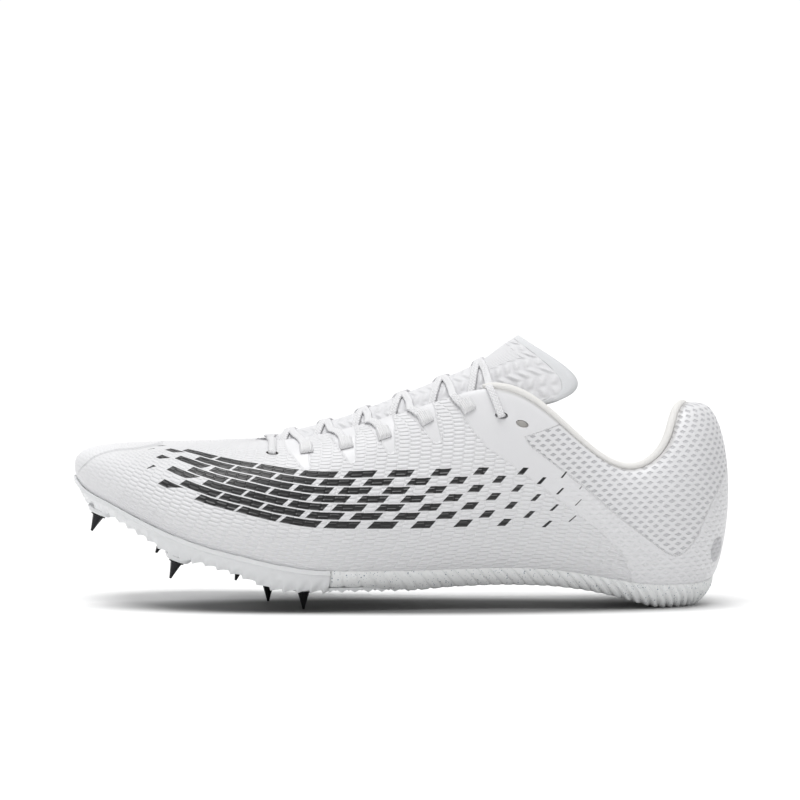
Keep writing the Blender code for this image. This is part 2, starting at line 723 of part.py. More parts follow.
def lace_bar(surface, start, end):
    """A flat bar from hole to hole, held clear of tongue and upper."""
    need = LACE_THICKNESS / 2 + LACE_CLEARANCE
    lift = Vector((0, 0, 1))
    short = (end - start).normalized() * LACE_WIDTH * 1.75
    start, end = start + short, end - short
    path = []
    for t in np.linspace(0, 1, 8):
        p = start.lerp(end, float(t))
        hit = surface.ray_cast(Vector((p.x, p.y, INSTEP_HEIGHT * 2)), -lift)[0]
        if hit is not None:
            p = Vector((p.x, p.y, max(p.z, hit.z) + need))
        for _ in range(6):
            near, _, _, distance = surface.find_nearest(p)
            if distance >= need:
                break
            away = (p - near).normalized() if distance > 1e-6 else lift
            if away.z < 0:
                away = -away
            p = near + away * need * 1.02
        path.append(p)
    sections = []
    for i, p in enumerate(path):
        ahead = (path[min(i + 1, len(path) - 1)] - path[max(i - 1, 0)]).normalized()
        near = surface.find_nearest(p)[0]
        away = (p - near).normalized()
        away = (away - ahead * away.dot(ahead)).normalized()
        wide = ahead.cross(away)
        loop = []
        for across, high in ((-1, -1), (1, -1), (1, 1), (-1, 1)):
            loop.append(p + wide * across * LACE_WIDTH / 2 + away * high * LACE_THICKNESS / 2)
        sections.append(loop)
    return sections


def build_laces(upper_surface, tongue, holes, finish):
    mesh = tongue.data
    points = [v.co.copy() for v in mesh.vertices]
    faces = [tuple(p.vertices) for p in mesh.polygons]
    tongue_surface = BVHTree.FromPolygons(points, faces)
    joined_points, joined_faces = list(points), list(faces)
    upper_points, upper_faces = upper_surface
    offset = len(joined_points)
    joined_points += upper_points
    joined_faces += [tuple(offset + k for k in f) for f in upper_faces]
    surface = BVHTree.FromPolygons(joined_points, joined_faces)
    for k in range(LACED_HOLES - 1):
        there = lace_bar(surface, holes["outer", k], holes["inner", k + 1])
        back = lace_bar(surface, holes["inner", k], holes["outer", k + 1])
        cross = loft("lace_cross_%d" % (k + 1), there, finish, smooth=False)
        other = loft("lace_cross_%d_cutter" % (k + 1), back, finish, smooth=False)
        boolean(cross, "UNION", as_cutter(other))


def build():
    for old in list(bpy.data.objects):
        bpy.data.objects.remove(old, do_unlink=True)
    film = material("coated_mesh", (0.90, 0.90, 0.90), 0.45)
    edge = material("binding_knit", (0.88, 0.87, 0.85), 0.85)
    padded = material("tongue_mesh", (0.88, 0.88, 0.88), 0.80)
    foam = material("speckled_foam", (0.84, 0.85, 0.85), 0.75)
    clear = material("clear_plate", (0.78, 0.80, 0.82), 0.25)
    lining = material("insole_cloth", (0.80, 0.80, 0.80), 0.90)
    steel = material("black_spike", (0.02, 0.02, 0.02), 0.35, 0.6)
    cord = material("lace_weave", (0.90, 0.90, 0.90), 0.80)

    holes, ends = {}, {}
    for side in ("outer", "inner"):
        for i, row in enumerate(EYELETS):
            hole = dict(zip(EYELET_COLUMNS, row))
            below = hole[side + "_below"]
            holes[side, i] = eyelet_frame(hole["along"], below * INSTEP_HEIGHT, side)
            high = min(below, LACE_BELOW) * INSTEP_HEIGHT
            ends[side, i] = Vector(eyelet_frame(hole["along"], high, side)[0])
    upper, upper_surface = build_upper(film)
    boolean(upper, "DIFFERENCE", build_slots(list(holes.values())))
    build_binding(edge)
    tongue = build_tongue(padded)
    build_insole(lining)
    build_midsole(foam)
    build_plate(clear)
    for row in SPIKES:
        build_spike(row, steel)
    build_laces(upper_surface, tongue, ends, cord)


build()
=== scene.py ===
# %% [markdown]
# A track spike shoe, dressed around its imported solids. The frame gives every solid at its real
# size and place in metres, so each new piece below is made where its solid already stands.

# %% Load the frame
import math

import bmesh
import bpy
import numpy as np
from mathutils import Matrix, Vector
from mathutils.bvhtree import BVHTree


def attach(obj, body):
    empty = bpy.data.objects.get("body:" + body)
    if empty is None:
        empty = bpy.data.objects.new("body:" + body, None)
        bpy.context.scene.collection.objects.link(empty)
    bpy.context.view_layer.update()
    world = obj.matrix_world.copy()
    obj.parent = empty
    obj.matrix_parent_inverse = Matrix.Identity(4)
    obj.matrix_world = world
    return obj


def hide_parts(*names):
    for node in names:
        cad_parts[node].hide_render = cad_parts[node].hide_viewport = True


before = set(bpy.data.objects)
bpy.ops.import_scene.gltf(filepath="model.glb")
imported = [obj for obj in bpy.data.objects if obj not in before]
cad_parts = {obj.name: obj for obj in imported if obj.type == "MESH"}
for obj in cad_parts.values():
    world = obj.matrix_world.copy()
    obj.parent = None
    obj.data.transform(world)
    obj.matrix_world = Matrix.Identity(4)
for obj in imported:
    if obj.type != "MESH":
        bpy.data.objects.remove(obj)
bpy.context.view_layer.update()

# %% [markdown]
# A product picture like this is taken with a long lens from low down, so near and far sides keep
# almost the same scale. The camera looks along +Y at the outer side, a few degrees above level.

# %% Camera
VIEW_RISE = math.radians(2.6)
LENS = 150
SENSOR = 36
PICTURE_WIDTH = 0.3508
AIM = Vector((0.0002, 0.0, 0.0889))
view_distance = PICTURE_WIDTH * LENS / SENSOR
camera_data = bpy.data.cameras.new("camera")
camera_data.lens = LENS
camera_data.sensor_width = SENSOR
camera = bpy.data.objects.new("camera", camera_data)
bpy.context.scene.collection.objects.link(camera)
camera.location = AIM + view_distance * Vector((0, -math.cos(VIEW_RISE), math.sin(VIEW_RISE)))
camera.rotation_euler = (math.pi / 2 - VIEW_RISE, 0, 0)
bpy.context.scene.camera = camera
print("camera distance", round(view_distance, 3))

# %% [markdown]
# The last is the form a shoe is built over. Its numbers are the same named sizes and shares as
# in the solids: a seam line where upper meets sole, a rim line round throat and collar, and a
# profile that climbs from one to the other.

# %% Sizes of the last
LENGTH = 0.2885
BALL_WIDTH = 0.094
HEEL_WIDTH = 0.062
THROAT_WIDTH = 0.046
COLLAR_WIDTH = 0.054
INSTEP_HEIGHT = 0.0970
HEEL_HEIGHT = 0.0880
TOE_SPRING = 0.050
SOLE_STACK = 0.0100
HEEL_BULGE = 0.0073
WALL = 0.0016
FIT = 0.0003
PLATE_LIP = 0.0013
seam_start = -LENGTH / 2 + PLATE_LIP
seam_length = LENGTH - PLATE_LIP - HEEL_BULGE

# %% Tables of the last and the sole
# One row for each section, toe to heel
# along: seam point, share of the seam's length; width: the size its offsets are shares of
# outer, inner: seam offsets; top_*: the rim point above it; inner_drop, inner_back: how much lower
# and further back the rim is on the inner side; round: fullness of the profile; sweep: how far it
# turns over; bulge: share of HEEL_BULGE; sag: dip of the vamp, a share of INSTEP_HEIGHT
LAST_COLUMNS = ("along", "width", "outer", "inner",
                "top_along", "top_width", "top_outer", "top_inner", "top_size", "top",
                "inner_drop", "inner_back", "round", "sweep", "bulge", "sag")
LAST = (
    (0.000, BALL_WIDTH, 0.150, 0.150, 0.287, THROAT_WIDTH, 0.04, 0.04, INSTEP_HEIGHT, 0.742, 0.0, 0.0,
     4.2, 1.00, 0.15, 0.016),
    (0.010, BALL_WIDTH, 0.020, 0.265, 0.289, THROAT_WIDTH, -0.05, 0.12, INSTEP_HEIGHT, 0.742, 0.0, 0.0,
     4.1, 1.00, 0.16, 0.016),
    (0.035, BALL_WIDTH, -0.110, 0.345, 0.293, THROAT_WIDTH, -0.12, 0.19, INSTEP_HEIGHT, 0.741, 0.0, 0.0,
     3.8, 1.00, 0.18, 0.015),
    (0.080, BALL_WIDTH, -0.255, 0.430, 0.300, THROAT_WIDTH, -0.18, 0.24, INSTEP_HEIGHT, 0.740, 0.0, 0.0,
     3.3, 1.00, 0.20, 0.012),
    (0.135, BALL_WIDTH, -0.375, 0.487, 0.311, THROAT_WIDTH, -0.23, 0.28, INSTEP_HEIGHT, 0.740, 0.0, 0.0,
     2.8, 0.97, 0.24, 0.009),
    (0.205, BALL_WIDTH, -0.466, 0.494, 0.329, THROAT_WIDTH, -0.27, 0.31, INSTEP_HEIGHT, 0.744, 0.0, 0.0,
     2.5, 0.92, 0.28, 0.006),
    (0.295, BALL_WIDTH, -0.496, 0.474, 0.361, THROAT_WIDTH, -0.32, 0.34, INSTEP_HEIGHT, 0.757, 0.0, 0.0,
     2.3, 0.86, 0.32, 0.003),
    (0.385, BALL_WIDTH, -0.470, 0.408, 0.417, THROAT_WIDTH, -0.38, 0.38, INSTEP_HEIGHT, 0.789, 0.0, 0.0,
     2.2, 0.79, 0.34, 0.0),
    (0.475, BALL_WIDTH, -0.408, 0.340, 0.487, THROAT_WIDTH, -0.44, 0.42, INSTEP_HEIGHT, 0.847, 0.0, 0.0,
     2.2, 0.74, 0.36, 0.0),
    (0.565, BALL_WIDTH, -0.360, 0.288, 0.561, THROAT_WIDTH, -0.49, 0.47, INSTEP_HEIGHT, 0.914, 0.0, 0.0,
     2.2, 0.70, 0.42, 0.0),
    (0.655, HEEL_WIDTH, -0.508, 0.420, 0.647, THROAT_WIDTH, -0.53, 0.52, INSTEP_HEIGHT, 0.978, 0.015, 0.0,
     2.2, 0.68, 0.46, 0.0),
    (0.745, HEEL_WIDTH, -0.500, 0.450, 0.727, COLLAR_WIDTH, -0.49, 0.48, INSTEP_HEIGHT, 0.897, 0.030, 0.0,
     2.3, 0.70, 0.48, 0.0),
    (0.830, HEEL_WIDTH, -0.508, 0.492, 0.809, COLLAR_WIDTH, -0.50, 0.50, HEEL_HEIGHT, 0.765, 0.037, 0.004,
     2.6, 0.74, 0.48, 0.0),
    (0.905, HEEL_WIDTH, -0.484, 0.484, 0.880, COLLAR_WIDTH, -0.48, 0.48, HEEL_HEIGHT, 0.688, 0.040, 0.010,
     3.0, 0.80, 0.56, 0.0),
    (0.955, HEEL_WIDTH, -0.382, 0.385, 0.926, COLLAR_WIDTH, -0.40, 0.40, HEEL_HEIGHT, 0.805, 0.040, 0.014,
     3.8, 0.90, 0.72, 0.0),
    (0.988, HEEL_WIDTH, -0.210, 0.210, 0.945, COLLAR_WIDTH, -0.23, 0.23, HEEL_HEIGHT, 0.962, 0.015, 0.008,
     5.0, 0.97, 0.92, 0.0),
    (1.000, HEEL_WIDTH, 0.0, 0.0, 0.960, COLLAR_WIDTH, 0.0, 0.0, HEEL_HEIGHT, 1.000, 0.0, 0.0,
     6.0, 1.00, 1.00, 0.0),
)

# The sole from the side: clearance is a share of TOE_SPRING, stack a share of SOLE_STACK
SOLE_COLUMNS = ("along", "clearance", "stack")
SOLE = (
    (0.000, 0.985, 0.55),
    (0.020, 0.868, 0.68),
    (0.065, 0.752, 0.72),
    (0.130, 0.556, 0.89),
    (0.170, 0.450, 0.97),
    (0.220, 0.368, 0.92),
    (0.270, 0.284, 0.99),
    (0.325, 0.180, 1.14),
    (0.385, 0.172, 0.92),
    (0.450, 0.168, 0.87),
    (0.520, 0.164, 0.87),
    (0.600, 0.192, 0.78),
    (0.670, 0.204, 0.76),
    (0.730, 0.196, 0.75),
    (0.790, 0.162, 0.72),
    (0.850, 0.092, 0.78),
    (0.890, 0.028, 0.93),
    (0.920, 0.000, 1.03),
    (0.965, 0.000, 1.01),
    (0.985, 0.050, 0.80),
    (1.000, 0.150, 0.43),
)
LAST_ROW = len(LAST) - 1
RING_ROWS = 2 * LAST_ROW

# %% Curves through the tables
def column(table, names, name):
    return np.array([row[names.index(name)] for row in table], dtype=float)


def place(along):
    """X of a share of the seam's length."""
    return seam_start + np.asarray(along) * seam_length


def monotone(xs, ys, at):
    """Smooth curve through a table that never overshoots it."""
    steps = np.diff(xs)
    slopes = np.diff(ys) / steps
    tangents = np.zeros(len(xs))
    tangents[0], tangents[-1] = slopes[0], slopes[-1]
    for i in range(1, len(xs) - 1):
        if slopes[i - 1] * slopes[i] > 0:
            tangents[i] = 2 * slopes[i - 1] * slopes[i] / (slopes[i - 1] + slopes[i])
    at = np.clip(at, xs[0], xs[-1])
    i = np.clip(np.searchsorted(xs, at) - 1, 0, len(xs) - 2)
    h = steps[i]
    t = (at - xs[i]) / h
    return (ys[i] * (1 + 2 * t) * (1 - t) ** 2 + ys[i + 1] * t * t * (3 - 2 * t)
            + h * tangents[i] * t * (1 - t) ** 2 - h * tangents[i + 1] * t * t * (1 - t))


class ClosedCurve:
    """Periodic cubic spline through rows of values, on knots along the seam."""

    def __init__(self, knots, period, values):
        self.knots = knots
        self.period = period
        self.values = values
        count = len(knots)
        gaps = np.diff(np.append(knots, period))
        matrix = np.zeros((count, count))
        right = np.zeros(values.shape)
        for i in range(count):
            before, after = (i - 1) % count, (i + 1) % count
            matrix[i, before] += gaps[before]
            matrix[i, i] += 2 * (gaps[before] + gaps[i])
            matrix[i, after] += gaps[i]
            right[i] = 6 * ((values[after] - values[i]) / gaps[i]
                            - (values[i] - values[before]) / gaps[before])
        self.gaps = gaps
        self.bends = np.linalg.solve(matrix, right)

    def at(self, knot):
        knot = knot % self.period
        i = int(np.searchsorted(self.knots, knot, side="right") - 1)
        after = (i + 1) % len(self.knots)
        gap = self.gaps[i]
        b = (knot - self.knots[i]) / gap
        a = 1 - b
        return (a * self.values[i] + b * self.values[after]
                + gap * gap / 6 * ((a ** 3 - a) * self.bends[i] + (b ** 3 - b) * self.bends[after]))


def ring_rows():
    """The rows of the last laid end to end: down the outer side, back up the inner side."""
    rows = []
    for side, order in (("outer", range(LAST_ROW + 1)), ("inner", range(LAST_ROW - 1, 0, -1))):
        for i in order:
            row = dict(zip(LAST_COLUMNS, LAST[i]))
            inner = side == "inner"
            drop = INSTEP_HEIGHT * row["inner_drop"] if inner else 0.0
            top_along = row["top_along"] + (row["inner_back"] if inner else 0.0)
            rows.append((
                place(row["along"]), row["width"] * row[side],
                place(top_along), row["top_width"] * row["top_" + side],
                row["top_size"] * row["top"] - drop, row["round"], row["sweep"],
                HEEL_BULGE * row["bulge"], INSTEP_HEIGHT * row["sag"]))
    return np.array(rows)


rows = ring_rows()
steps = np.linalg.norm(np.roll(rows[:, :2], -1, axis=0) - rows[:, :2], axis=1)
ring_knots = np.concatenate(([0.0], np.cumsum(steps)[:-1]))
ring_length = float(steps.sum())
ring = ClosedCurve(ring_knots, ring_length, rows)
SOLE_ALONG = place(column(SOLE, SOLE_COLUMNS, "along"))
SOLE_CLEARANCE = TOE_SPRING * column(SOLE, SOLE_COLUMNS, "clearance")
SOLE_SEAM = SOLE_CLEARANCE + SOLE_STACK * column(SOLE, SOLE_COLUMNS, "stack")


def underside(x):
    return monotone(SOLE_ALONG, SOLE_CLEARANCE, x)


def seam_height(x):
    return monotone(SOLE_ALONG, SOLE_SEAM, x)


ends = np.append(ring_knots, ring_length)


def knot_of(station):
    """Distance along the seam of a station counted in rows of the last."""
    return float(np.interp(station, np.arange(RING_ROWS + 1), ends))


def outer_station(knot):
    """Station of a distance along the outer seam."""
    return np.interp(knot, ring_knots[:LAST_ROW + 1], np.arange(LAST_ROW + 1))


def on_side(station, side):
    """The same station on the chosen side of the shoe."""
    return station if side == "outer" else RING_ROWS - station


def seam_point(station, inset=0.0):
    """Seam point and outward direction, moved inwards by the inset."""
    knot = knot_of(station)
    reach = 0.0005
    here = ring.at(knot)[:2]
    ahead = ring.at(knot + reach)[:2] - ring.at(knot - reach)[:2]
    out = np.array((ahead[1], -ahead[0])) / np.linalg.norm(ahead)
    return here - out * inset, out


def wall_profile(station, shares):
    """Points of the upper's outer face from seam to rim, at shares of its length."""
    x, y, top_x, top_y, top_z, fullness, sweep, bulge, sag = ring.at(knot_of(station))
    out = seam_point(station)[1]
    low = float(seam_height(x))
    end = sweep * math.pi / 2
    power = 2 / fullness
    in_end = 1 - math.cos(end) ** power if sweep < 0.999 else 1.0
    up_end = math.sin(end) ** power
    even = np.linspace(0, 1, 90)
    from_up = np.arcsin(np.clip(even * up_end, 0, 1) ** (1 / power))
    from_in = np.arccos(np.clip(1 - even * in_end, 0, 1) ** (1 / power))
    turn = np.unique(np.clip(np.concatenate((from_up, from_in)), 0, end))
    inward = (1 - np.clip(np.cos(turn), 0, 1) ** power) / in_end
    upward = np.sin(turn) ** power / up_end
    swell = bulge * np.sin(math.pi * np.clip(upward, 0, 1)) ** 0.6
    dip = sag * np.sin(math.pi * np.clip(inward, 0, 1))
    points = np.stack((x + (top_x - x) * inward + out[0] * swell,
                       y + (top_y - y) * inward + out[1] * swell,
                       low + (top_z - low) * upward - dip), axis=1)
    length = np.concatenate(([0.0], np.cumsum(np.linalg.norm(np.diff(points, axis=0), axis=1))))
    wanted = np.asarray(shares) * length[-1]
    return np.stack([np.interp(wanted, length, points[:, k]) for k in range(3)], axis=1)

# %% [markdown]
# Every finish is a Principled shader fed by a few sums. Small helpers keep those sums readable:
# each adds one node to a material and hands back its output.

# %% Helpers for finishes
def new_finish(name, colour, roughness):
    made = bpy.data.materials.new(name)
    made.use_nodes = True
    surface = made.node_tree.nodes["Principled BSDF"]
    surface.inputs["Base Color"].default_value = (*colour, 1)
    surface.inputs["Roughness"].default_value = roughness
    return made, made.node_tree, surface


def sum_of(tree, operation, first, second=None, third=None):
    """One Math node; numbers are set on it and sockets are linked to it."""
    node = tree.nodes.new("ShaderNodeMath")
    node.operation = operation
    for slot, value in zip(node.inputs, (first, second, third)):
        if value is None:
            continue
        if isinstance(value, (int, float)):
            slot.default_value = value
        else:
            tree.links.new(value, slot)
    return node.outputs[0]


def times(tree, one, other):
    return sum_of(tree, "MULTIPLY", one, other)


def plus(tree, one, other):
    return sum_of(tree, "ADD", one, other)


def minus(tree, one, other):
    return sum_of(tree, "SUBTRACT", one, other)


def size_of(tree, value):
    return sum_of(tree, "ABSOLUTE", value)


def ramp(tree, value, low, high, to_low=0.0, to_high=1.0):
    """A smooth step from to_low, where value is under low, to to_high, where it is over high."""
    node = tree.nodes.new("ShaderNodeMapRange")
    node.interpolation_type = "SMOOTHSTEP"
    tree.links.new(value, node.inputs["Value"])
    node.inputs["From Min"].default_value = low
    node.inputs["From Max"].default_value = high
    node.inputs["To Min"].default_value = to_low
    node.inputs["To Max"].default_value = to_high
    return node.outputs[0]


def map_pair(tree, name):
    """The two numbers kept in a UV map, in millimetres."""
    chart = tree.nodes.new("ShaderNodeUVMap")
    chart.uv_map = name
    split = tree.nodes.new("ShaderNodeSeparateXYZ")
    tree.links.new(chart.outputs[0], split.inputs[0])
    return (times(tree, split.outputs[0], 1000.0),
            times(tree, split.outputs[1], 1000.0))


def blend_colour(tree, share, under, over):
    """Mixes two colours, given as colours or sockets, by a share."""
    node = tree.nodes.new("ShaderNodeMix")
    node.data_type = "RGBA"
    tree.links.new(share, node.inputs["Factor"])
    for slot, value in ((node.inputs[6], under), (node.inputs[7], over)):
        if isinstance(value, tuple):
            slot.default_value = (*value, 1)
        else:
            tree.links.new(value, slot)
    return node.outputs[2]


def noise(tree, scale, detail=2.0):
    node = tree.nodes.new("ShaderNodeTexNoise")
    spot = tree.nodes.new("ShaderNodeTexCoord")
    tree.links.new(spot.outputs["Object"], node.inputs["Vector"])
    node.inputs["Scale"].default_value = scale
    node.inputs["Detail"].default_value = detail
    return node.outputs["Fac"]


def relief(tree, surface, height):
    """Bump from a height in millimetres."""
    node = tree.nodes.new("ShaderNodeBump")
    node.inputs["Strength"].default_value = 1.0
    node.inputs["Distance"].default_value = 0.001
    tree.links.new(height, node.inputs["Height"])
    tree.links.new(node.outputs[0], surface.inputs["Normal"])


def paint(tree, surface, colour):
    tree.links.new(colour, surface.inputs["Base Color"])


def grain(tree, surface, scale, height):
    """An even grain all over a finish."""
    relief(tree, surface, times(tree, noise(tree, scale), height))


def adjust(surface, settings):
    for name, value in settings.items():
        surface.inputs[name].default_value = value


def as_object(name, shape, finishes=()):
    """Turns a bmesh into an object at the origin."""
    mesh = bpy.data.meshes.new(name)
    shape.to_mesh(mesh)
    shape.free()
    made = bpy.data.objects.new(name, mesh)
    for finish in finishes:
        mesh.materials.append(finish)
    bpy.context.scene.collection.objects.link(made)
    return made


def show(name, shape, finishes, smooth=True):
    """A piece that rides on the shoe's one body."""
    made = as_object(name, shape, finishes)
    if smooth:
        made.data.shade_smooth()
    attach(made, "root")
    return made


def triangles(made):
    made.data.calc_loop_triangles()
    return len(made.data.loop_triangles)


# %% [markdown]
# The upper is a knitted bootie under a welded film. It is made here as one sheet wrapped round
# the last: a grid whose columns climb the wall from the sole seam to the rim, thickened inwards.
# Each point keeps its distance round the shoe and up the wall, so patterns follow the form.

# %% Sheet of the upper
SHEET_COLUMNS = 440
SHEET_ROWS = 64


def wall_sheet(columns, heights, station_of):
    """Grid of points on the wall, for shares round the shoe and shares up the wall."""
    return np.array([wall_profile(station_of(i / columns), heights) for i in range(columns + 1)])


def station_even(share):
    """Station at an even share of the way round the seam."""
    return float(np.interp(share * ring_length, ends, np.arange(RING_ROWS + 1)))


heights = np.linspace(0, 1, SHEET_ROWS + 1)
sheet = wall_sheet(SHEET_COLUMNS, heights, station_even)
strides = np.linalg.norm(np.diff(sheet, axis=0), axis=2)
walked = np.concatenate((np.zeros((1, SHEET_ROWS + 1)), np.cumsum(strides, axis=0)))
heel_column = int(round(SHEET_COLUMNS * ring_knots[LAST_ROW] / ring_length))
around = walked - walked[heel_column]
climbs = np.linalg.norm(np.diff(sheet, axis=1), axis=2)
climbed = np.concatenate((np.zeros((SHEET_COLUMNS + 1, 1)), np.cumsum(climbs, axis=1)), axis=1)
print("sheet", sheet.shape, "wall up to", round(float(climbed.max()) * 1000), "mm tall")

# %% [markdown]
# Edges of films and mesh are outlines seen from the side. Each point's distance from them is
# worked out once and kept in a UV map, which stays sharp even where the grid is coarse.

# %% Outlines on the side
COLLAR_MESH = (
    (54.0, 74.3), (56.2, 70.8), (79.8, 52.7), (87.5, 45.8), (94.8, 39.9), (103.4, 33.3),
    (111.2, 27.4), (115.4, 24.4), (119.4, 23.1), (122.9, 24.7), (126.0, 27.7), (128.8, 31.8),
    (131.4, 38.0), (133.9, 43.3), (137.3, 49.5), (141.2, 56.6), (150.0, 68.0), (150.0, 120.0),
    (80.0, 120.0), (69.0, 79.4),
)
EMBOSS = (
    (23.8, 120.0), (23.8, 92.3), (30.0, 80.0), (36.7, 70.9), (51.8, 60.1), (69.0, 47.2),
    (86.2, 34.3), (97.0, 22.0), (104.0, 0.0), (-200.0, 0.0), (-200.0, 120.0),
)
TOE_LINE = ((-141.0, 57.0), (-139.0, 59.2), (-134.6, 63.5), (-130.3, 65.7), (-123.7, 67.4),
            (-115.0, 68.2), (-104.0, 70.0))
FINGERS = (
    ((-44.0, 70.9), (-40.2, 60.6)),
    ((-23.4, 73.9), (-20.6, 63.4)),
    ((-6.7, 78.2), (-3.7, 67.2)),
    ((10.9, 84.2), (16.1, 71.7)),
    ((28.6, 90.2), (33.7, 75.6)),
)
FINGER_WIDE = 5.0
FINGER_TIP = 1.9
HEEL_DISC = (0.1366, -0.0138, 0.0249)
DISC_RADIUS = 5.8


def to_segments(points, corners):
    """Distance of points from a chain of corners."""
    best = np.full(len(points), 1e9)
    for start, end in zip(corners[:-1], corners[1:]):
        start, end = np.array(start, float), np.array(end, float)
        way = end - start
        share = np.clip(((points - start) @ way) / (way @ way), 0, 1)
        best = np.minimum(best, np.linalg.norm(points - (start + share[:, None] * way), axis=1))
    return best


def inside(points, corners):
    """Signed distance from an outline, positive inside it."""
    closed = list(corners) + [corners[0]]
    best = to_segments(points, closed)
    odd = np.zeros(len(points), bool)
    for (ax, ay), (bx, by) in zip(closed[:-1], closed[1:]):
        crosses = (ay > points[:, 1]) != (by > points[:, 1])
        level = np.where(by == ay, 1e-9, by - ay)
        odd ^= crosses & (points[:, 0] < ax + (points[:, 1] - ay) * (bx - ax) / level)
    return np.where(odd, best, -best)


def fingers_at(points):
    """Signed distance from the tapering film fingers below the lace holes."""
    best = np.full(len(points), -1e9)
    for top, tip in FINGERS:
        top, tip = np.array(top), np.array(tip) + (0, FINGER_TIP)
        way = tip - top
        share = np.clip(((points - top) @ way) / (way @ way), -0.6, 1)
        width = FINGER_WIDE + (FINGER_TIP - FINGER_WIDE) * np.clip(share, 0, 1) ** 0.8
        gap = np.linalg.norm(points - (top + share[:, None] * way), axis=1)
        best = np.maximum(best, width - gap)
    return best


HEEL_CENTRE = 0.113
HEEL_SWEEP = 0.027
side_view = sheet.reshape(-1, 3)[:, (0, 2)] * 1000
flat_x, flat_y = sheet.reshape(-1, 3)[:, 0], np.abs(sheet.reshape(-1, 3)[:, 1])
behind = flat_x > HEEL_CENTRE
heel_turn = np.arctan2(np.where(behind, flat_x - HEEL_CENTRE, 0.0), np.maximum(flat_y, 1e-6))
wrapped = np.where(behind, HEEL_CENTRE + HEEL_SWEEP * heel_turn, flat_x)
emboss_edge = np.minimum(inside(side_view, EMBOSS), -fingers_at(side_view) - 0.2)
mesh_edge = inside(side_view, COLLAR_MESH)
toe_gap = to_segments(side_view, TOE_LINE)
charts = {
    "weave": np.stack((wrapped, side_view[:, 1] / 1000), axis=1),
    "wall": np.stack((around.ravel(), climbed.ravel()), axis=1),
    "zones": np.stack((mesh_edge, emboss_edge), axis=1) / 1000,
    "marks": np.stack((toe_gap, (climbed[:, -1:] - climbed).ravel() * 1000), axis=1) / 1000,
}
print("charts", {name: values.shape for name, values in charts.items()})

# %% [markdown]
# A grid operator gives the sheet, and each corner is set on the wall by its place in the grid.
# Solidify adds the thickness, and the lace holes are punched through with oval rods.

# %% Upper shell
def laid_grid(columns, rows_up, points, charts):
    """A grid laid on points, with one UV map for each chart."""
    shape = bmesh.new()
    bmesh.ops.create_grid(shape, x_segments=columns, y_segments=rows_up, size=0.5)
    layers = {name: shape.loops.layers.uv.new(name) for name in charts}
    index = {}
    for corner in shape.verts:
        i = round((corner.co.x + 0.5) * columns)
        k = round((corner.co.y + 0.5) * rows_up)
        index[corner] = i * (rows_up + 1) + k
    flat = points.reshape(-1, 3)
    for face in shape.faces:
        for loop in face.loops:
            for name, layer in layers.items():
                loop[layer].uv = charts[name][index[loop.vert]]
    for corner, place_in_grid in index.items():
        corner.co = flat[place_in_grid]
    return shape


shell_shape = laid_grid(SHEET_COLUMNS, SHEET_ROWS, sheet, charts)
seam_corners = [c for c in shell_shape.verts if c.is_boundary]
bmesh.ops.remove_doubles(shell_shape, verts=seam_corners, dist=1e-6)
bmesh.ops.recalc_face_normals(shell_shape, faces=shell_shape.faces)
print("sheet corners", len(shell_shape.verts))

# %% Lace holes
EYELET_COLUMNS = ("along", "outer_below", "inner_below")
EYELETS = (
    (0.315, 0.190, 0.190),
    (0.368, 0.140, 0.140),
    (0.426, 0.120, 0.120),
    (0.488, 0.095, 0.095),
    (0.550, 0.066, 0.066),
    (0.617, 0.066, 0.066),
    (0.669, 0.125, 0.125),
    (0.698, 0.140, 0.118),
)
SLOT_LENGTH = 0.0056
SLOT_WIDTH = 0.0030


def hole_frame(share, below, side):
    """Place of a lace hole on the wall, with its directions along, up and out."""
    target = float(place(share))
    even = np.linspace(0, 1, 41)
    best = None
    for station in np.linspace(3.0, 12.0, 121):
        turned = on_side(station, side)
        profile = wall_profile(turned, even)
        length = np.linalg.norm(np.diff(profile, axis=0), axis=1).sum()
        depth = 1 - below / length
        point = wall_profile(turned, (depth,))[0]
        if best is None or abs(point[0] - target) < best[0]:
            best = (abs(point[0] - target), turned, depth)
    turned, depth = best[1:]
    low, here, high = wall_profile(turned, (depth - 0.02, depth, depth + 0.02))
    along = (wall_profile(turned + 0.1, (depth,)) - wall_profile(turned - 0.1, (depth,)))[0]
    along /= np.linalg.norm(along)
    out = np.cross(along, high - low)
    out /= np.linalg.norm(out)
    return here, along, np.cross(out, along), out


holes = {}
for side in ("outer", "inner"):
    for k, row in enumerate(EYELETS):
        hole = dict(zip(EYELET_COLUMNS, row))
        holes[side, k] = hole_frame(hole["along"], hole[side + "_below"] * INSTEP_HEIGHT, side)
# Holes 0, 6 and 7 get walls in painted shade (material slot 2); the other holes keep the film's finish.
OPEN_HOLES = (0, 6, 7)
cutter_shape = bmesh.new()
for (side, k), (here, along, up, out) in holes.items():
    spot = Matrix.Identity(4)
    for axis, way in enumerate((along * SLOT_LENGTH / 2, up * SLOT_WIDTH / 2, out)):
        spot.col[axis][:3] = way
    spot.col[3][:3] = here
    rod = bmesh.ops.create_cone(cutter_shape, cap_ends=True, segments=20, radius1=1, radius2=1,
                                depth=0.012, matrix=spot)
    for corner in rod["verts"]:
        for face in corner.link_faces:
            face.material_index = 2 if k in OPEN_HOLES else 0
bmesh.ops.recalc_face_normals(cutter_shape, faces=cutter_shape.faces)
cutter = as_object("lace_hole_rods", cutter_shape)
print("lace holes", len(holes))
